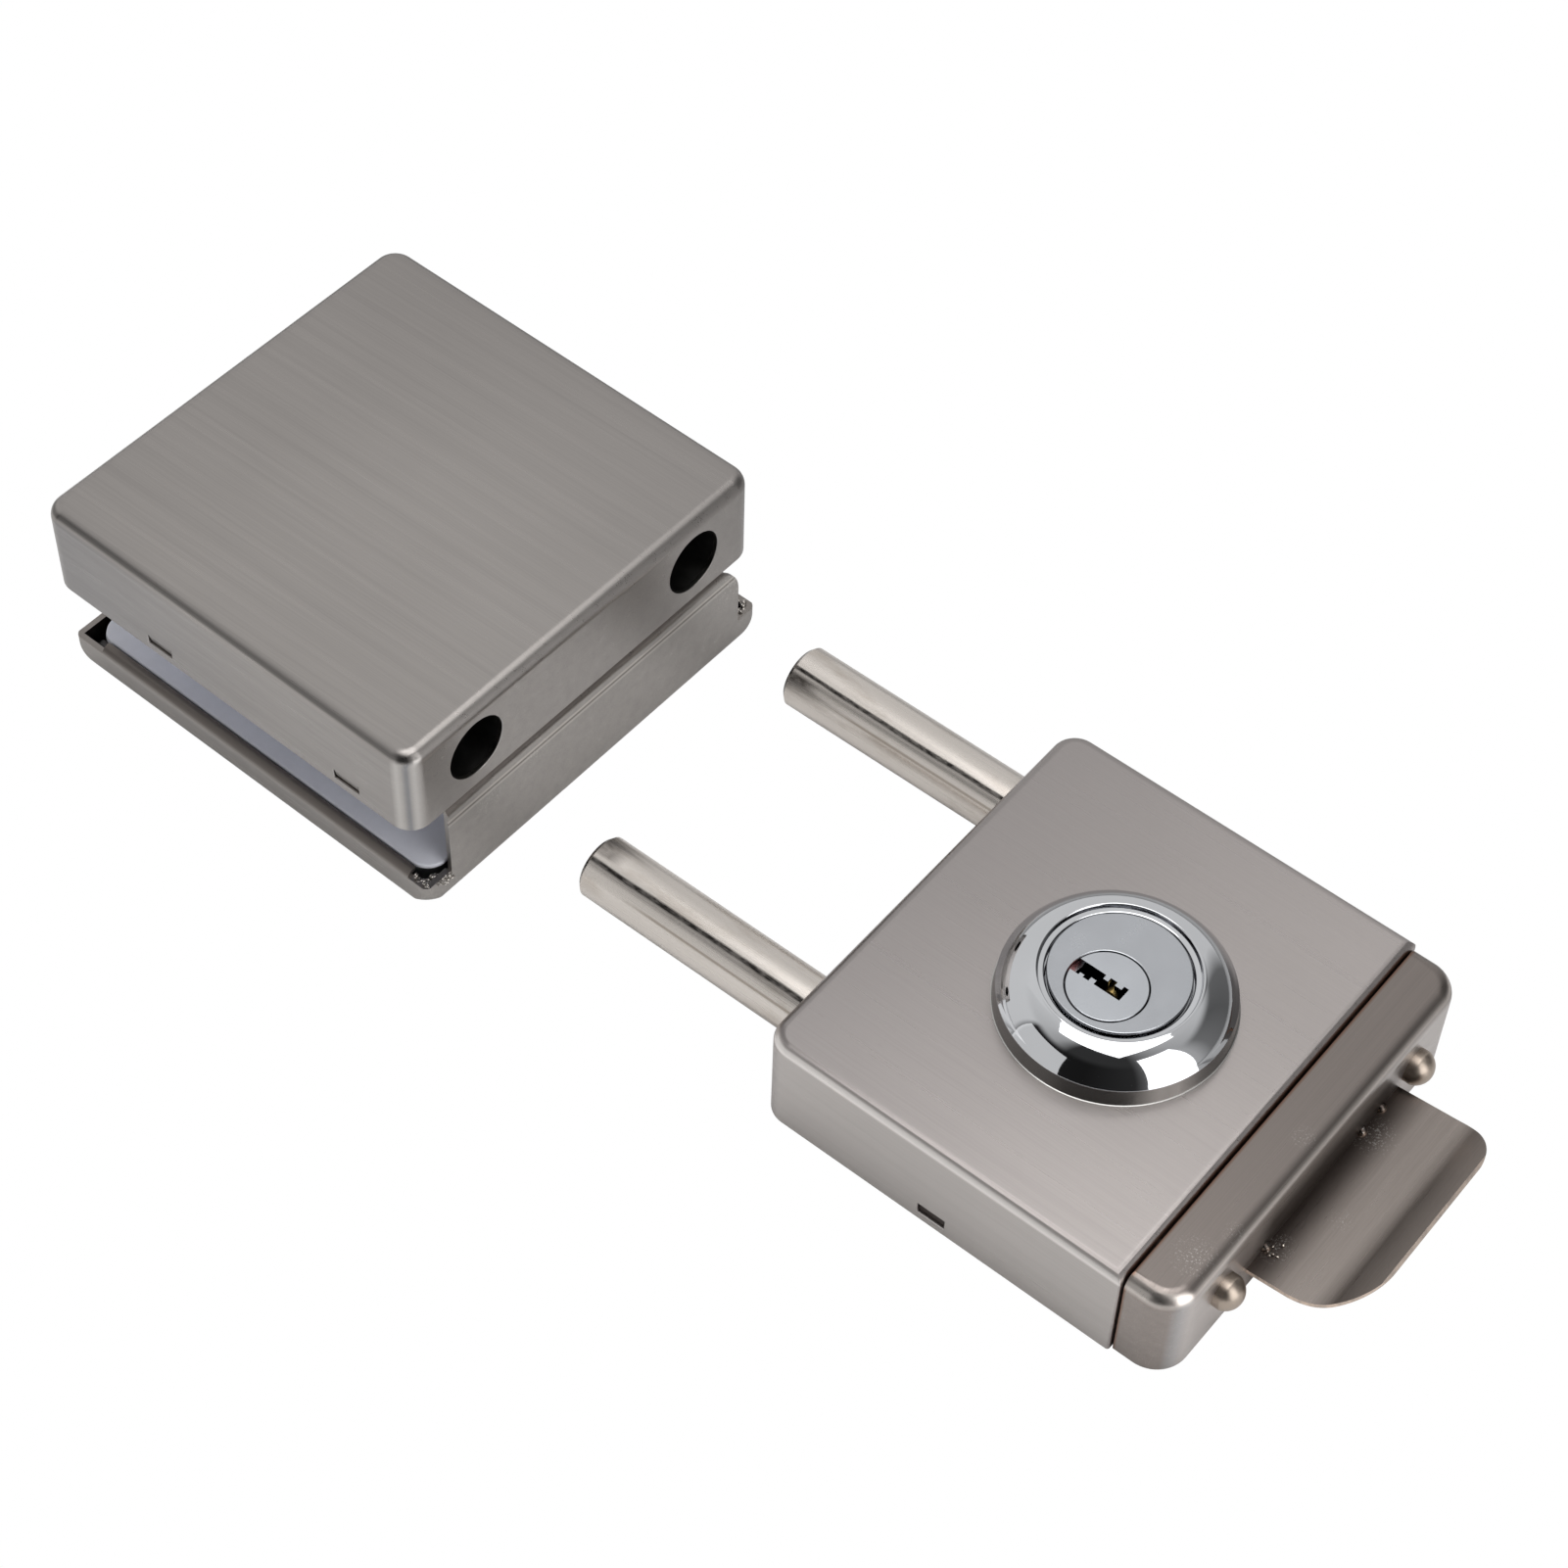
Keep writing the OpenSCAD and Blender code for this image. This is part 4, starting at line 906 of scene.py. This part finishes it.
def turnedTree(name, profile):
    radius = max(r for r, z in profile)
    low, high = min(z for r, z in profile), max(z for r, z in profile)
    tree, given = openTree(name, [
        ("Steps", "Int", 128),
        ("Radius", "Float", radius * mm),
        ("Height", "Float", (high - low) * mm),
        ("Base", "Float", low * mm),
        ("Material", "Material", None),
    ])
    grid = tree.nodes.new("GeometryNodeMeshGrid")
    grid.inputs["Size X"].default_value = grid.inputs["Size Y"].default_value = 1.0
    tree.links.new(calc(tree, "ADD", given.outputs["Steps"], 1), grid.inputs["Vertices X"])
    grid.inputs["Vertices Y"].default_value = len(profile)
    flat = tree.nodes.new("GeometryNodeInputPosition").outputs[0]
    angle = calc(tree, "MULTIPLY", calc(tree, "ADD", axisOf(tree, flat, "X"), 0.5), 2 * math.pi)
    share = calc(tree, "ADD", axisOf(tree, flat, "Y"), 0.5)
    radii = profileCurve(tree, share, [r / radius for r, z in profile])
    reach = calc(tree, "MULTIPLY", radii, given.outputs["Radius"])
    level = profileCurve(tree, share, [(z - low) / (high - low) for r, z in profile])
    rise = calc(tree, "MULTIPLY", level, given.outputs["Height"])
    place = tree.nodes.new("ShaderNodeCombineXYZ")
    for axis, operation in (("X", "COSINE"), ("Y", "SINE")):
        side = calc(tree, "MULTIPLY", reach, calc(tree, operation, angle))
        tree.links.new(side, place.inputs[axis])
    tree.links.new(calc(tree, "ADD", rise, given.outputs["Base"]), place.inputs["Z"])
    move = tree.nodes.new("GeometryNodeSetPosition")
    tree.links.new(grid.outputs["Mesh"], move.inputs["Geometry"])
    tree.links.new(place.outputs[0], move.inputs["Position"])
    merge = tree.nodes.new("GeometryNodeMergeByDistance")
    merge.inputs["Distance"].default_value = shaping["mergeGap"]
    tree.links.new(move.outputs[0], merge.inputs[0])
    return closeTree(tree, merge.outputs[0], given)


rosetteLook = {  # mm and degrees
    "steps": 160,
    "outer": 22.0,
    "base": 22.5,
    "foot": [(0.42, 0.13), (0.45, 0.3)],  # inwards and up from the outer edge
    "ring": 21.0,
    "ringZ": 26.15,
    "bead": 0.24,
    "domeAxis": (12.469, 22.219),
    "domeR": 9.5,
    "domeArc": (28.5, 75.5),
    "lipAxis": (14.62, 31.2),
    "lipR": 0.3,
    "ledge": (14.1, 30.7),
    "ledgeEnd": (0.3, 30.62),  # from the recess, height
    "ledgeRound": 0.25,
    "recess": 13.05,
    "floor": 29.2,
    "bore": 12.15,
}


def rosetteProfile(look):
    outer, base, ring, ringZ = look["outer"], look["base"], look["ring"], look["ringZ"]
    (footIn, footUp), (wallIn, wallUp) = look["foot"]
    endR, endZ = look["recess"] + look["ledgeEnd"][0], look["ledgeEnd"][1]
    points = [(look["bore"], base)]
    points += linePoints(points[-1], (outer, base), 2)
    points += linePoints(points[-1], (outer - footIn, base + footUp), 2)
    points += linePoints(points[-1], (outer - wallIn, base + wallUp), 1)
    points += linePoints(points[-1], (ring + 0.02, ringZ - 0.2), 6)
    points += arcPoints((ring - 0.04, ringZ + 0.06), look["bead"], -70, 40, 7)
    points += arcPoints(look["domeAxis"], look["domeR"], *look["domeArc"], 30)
    points += arcPoints(look["lipAxis"], look["lipR"], 70, 175, 8)
    points += linePoints(points[-1], look["ledge"], 4)
    points += linePoints(points[-1], (endR, endZ), 4)
    points += arcPoints((endR, endZ - look["ledgeRound"]), look["ledgeRound"], 100, 180, 6)
    points += linePoints(points[-1], (look["recess"], look["floor"]), 2)
    points += linePoints(points[-1], (look["bore"], look["floor"]), 2)
    points += linePoints(points[-1], (look["bore"], base), 2)
    return points


rosetteTree = turnedTree("rosetteTurning", rosetteProfile(rosetteLook))
rosetteValues = {"Steps": rosetteLook["steps"], "Material": finishes["bright_chrome"]}
join(grown("rosetteRing", rosetteTree, rosetteValues), "rosette")

rivetLook = {"steps": 64, "shank": 2.5, "head": 3.4, "rim": 1.5, "dome": 2.5}  # lengths in mm


def rivetProfile(look, depth):
    ball = (look["head"] ** 2 + look["dome"] ** 2) / (2 * look["dome"])
    middle = look["rim"] + look["dome"] - ball
    start = math.degrees(math.atan2(look["rim"] - middle, look["head"]))
    points = [(0.0, -depth)]
    points += linePoints(points[-1], (look["shank"], -depth), 4)
    points += linePoints(points[-1], (look["shank"], 0.0), 8)
    points += linePoints(points[-1], (look["head"], 0.0), 4)
    points += linePoints(points[-1], (look["head"], look["rim"]), 6)
    points += arcPoints((0.0, middle), ball, start, 90, 42)
    return points


def boxOf(node):
    corners = [Vector(c) for c in frame["nodes"][node].bound_box]
    return [[pick(c[i] for c in corners) for i in range(3)] for pick in (min, max)]


rivetValues = {"Steps": rivetLook["steps"], "Material": finishes["rivet_steel"]}
for node, name in (("lower_rivet", "lowerRivet"), ("upper_rivet", "upperRivet")):
    low, high = boxOf(node)
    seat = high[0] - (rivetLook["rim"] + rivetLook["dome"]) * mm
    tree = turnedTree(name + "Turning", rivetProfile(rivetLook, (seat - low[0]) / mm))
    place = Matrix.Translation((seat, (low[1] + high[1]) / 2, (low[2] + high[2]) / 2))
    join(grown(name, tree, rivetValues, place @ Matrix.Rotation(math.pi / 2, 4, "Y")), node)
print("turned pieces ready")


# beads scattered round a place, each of its own size

def beadTree(name):
    tree, given = openTree(name, [
        ("Count", "Int", 8),
        ("Spread", "Vector", (0.001, 0.002, 0.0)),
        ("Size", "Float", 0.0004),
        ("Seed", "Int", 0),
        ("Material", "Material", None),
    ])

    def randomVector(low, high):
        node = tree.nodes.new("FunctionNodeRandomValue")
        node.data_type = "FLOAT_VECTOR"
        node.inputs[0].default_value = low
        node.inputs[1].default_value = high
        tree.links.new(given.outputs["Seed"], node.inputs["Seed"])
        return node.outputs[0]

    line = tree.nodes.new("GeometryNodeMeshLine")
    line.inputs["Offset"].default_value = (0, 0, 0)
    tree.links.new(given.outputs["Count"], line.inputs["Count"])
    scaled = tree.nodes.new("ShaderNodeVectorMath")
    scaled.operation = "MULTIPLY"
    tree.links.new(randomVector((-1, -1, -1), (1, 1, 1)), scaled.inputs[0])
    tree.links.new(given.outputs["Spread"], scaled.inputs[1])
    move = tree.nodes.new("GeometryNodeSetPosition")
    tree.links.new(line.outputs[0], move.inputs["Geometry"])
    tree.links.new(scaled.outputs[0], move.inputs["Offset"])
    ball = tree.nodes.new("GeometryNodeMeshIcoSphere")
    ball.inputs["Subdivisions"].default_value = 3
    tree.links.new(given.outputs["Size"], ball.inputs["Radius"])
    place = tree.nodes.new("GeometryNodeInstanceOnPoints")
    tree.links.new(move.outputs[0], place.inputs["Points"])
    tree.links.new(ball.outputs[0], place.inputs["Instance"])
    tree.links.new(randomVector((0.35, 0.45, 0.3), (1.0, 1.3, 0.8)), place.inputs["Scale"])
    return closeTree(tree, place.outputs[0], given)


beads = beadTree("beadScatter")


def addBeads(name, look, at, metal, node):
    values = {"Count": look["count"], "Spread": [v * mm for v in look["spread"]],
              "Size": look["size"] * mm, "Seed": look["seed"], "Material": metal}
    join(grown(name, beads, values, Matrix.Translation(at)), node, extra=True)


# weld along the root of the finger pull, in mm
weldLook = [
    {"at": (47.2, 13.4, 9.0), "count": 9, "spread": (1.1, 2.2, 0.05), "size": 0.34, "seed": 3},
    {"at": (47.0, 19.6, 9.0), "count": 5, "spread": (0.8, 1.3, 0.05), "size": 0.3, "seed": 8},
    {"at": (46.4, -15.8, 8.9), "count": 6, "spread": (1.0, 1.8, 0.05), "size": 0.36, "seed": 5},
]
weldSteel = plainMetal("weldBead", (0.5, 0.45, 0.4), (0.15, 0.25), 700, 0.01)
for number, look in enumerate(weldLook, 1):
    addBeads("weldBeads%d" % number, look, Vector(look["at"]) * mm, weldSteel, "finger_pull")

# ragged metal where the corners of the back shell were cut, in mm: X and Y count outwards
# from the corner, side -1 is the front one and side 1 the back one
burrLook = [
    {"side": -1, "at": (-5.2, -1.3, 7.4), "count": 26, "spread": (2.8, 0.5, 0.4), "size": 0.42,
     "seed": 11},
    {"side": -1, "at": (-1.4, -4.2, 7.4), "count": 22, "spread": (0.45, 2.0, 0.4), "size": 0.42,
     "seed": 12},
    {"side": -1, "at": (-3.4, -3.2, 6.6), "count": 22, "spread": (1.3, 1.3, 0.5), "size": 0.6,
     "seed": 13},
    {"side": 1, "at": (-3.8, -3.5, 7.5), "count": 18, "spread": (2.2, 0.45, 0.35), "size": 0.5,
     "seed": 14},
    {"side": 1, "at": (-1.6, -5.2, 7.4), "count": 14, "spread": (0.45, 1.5, 0.35), "size": 0.45,
     "seed": 15},
]
burrSteel = plainMetal("burrMetal", (0.46, 0.43, 0.4), (0.2, 0.35), 900, 0.02)
shellLow, shellHigh = boxOf("back_shell")
for number, look in enumerate(burrLook, 1):
    x, y, z = look["at"]
    edgeY = shellHigh[1] if look["side"] > 0 else shellLow[1]
    at = Vector((shellHigh[0] + x * mm, edgeY + look["side"] * y * mm, z * mm))
    addBeads("shellBurrs%d" % number, look, at, burrSteel, "back_shell")
print("pieces ready")
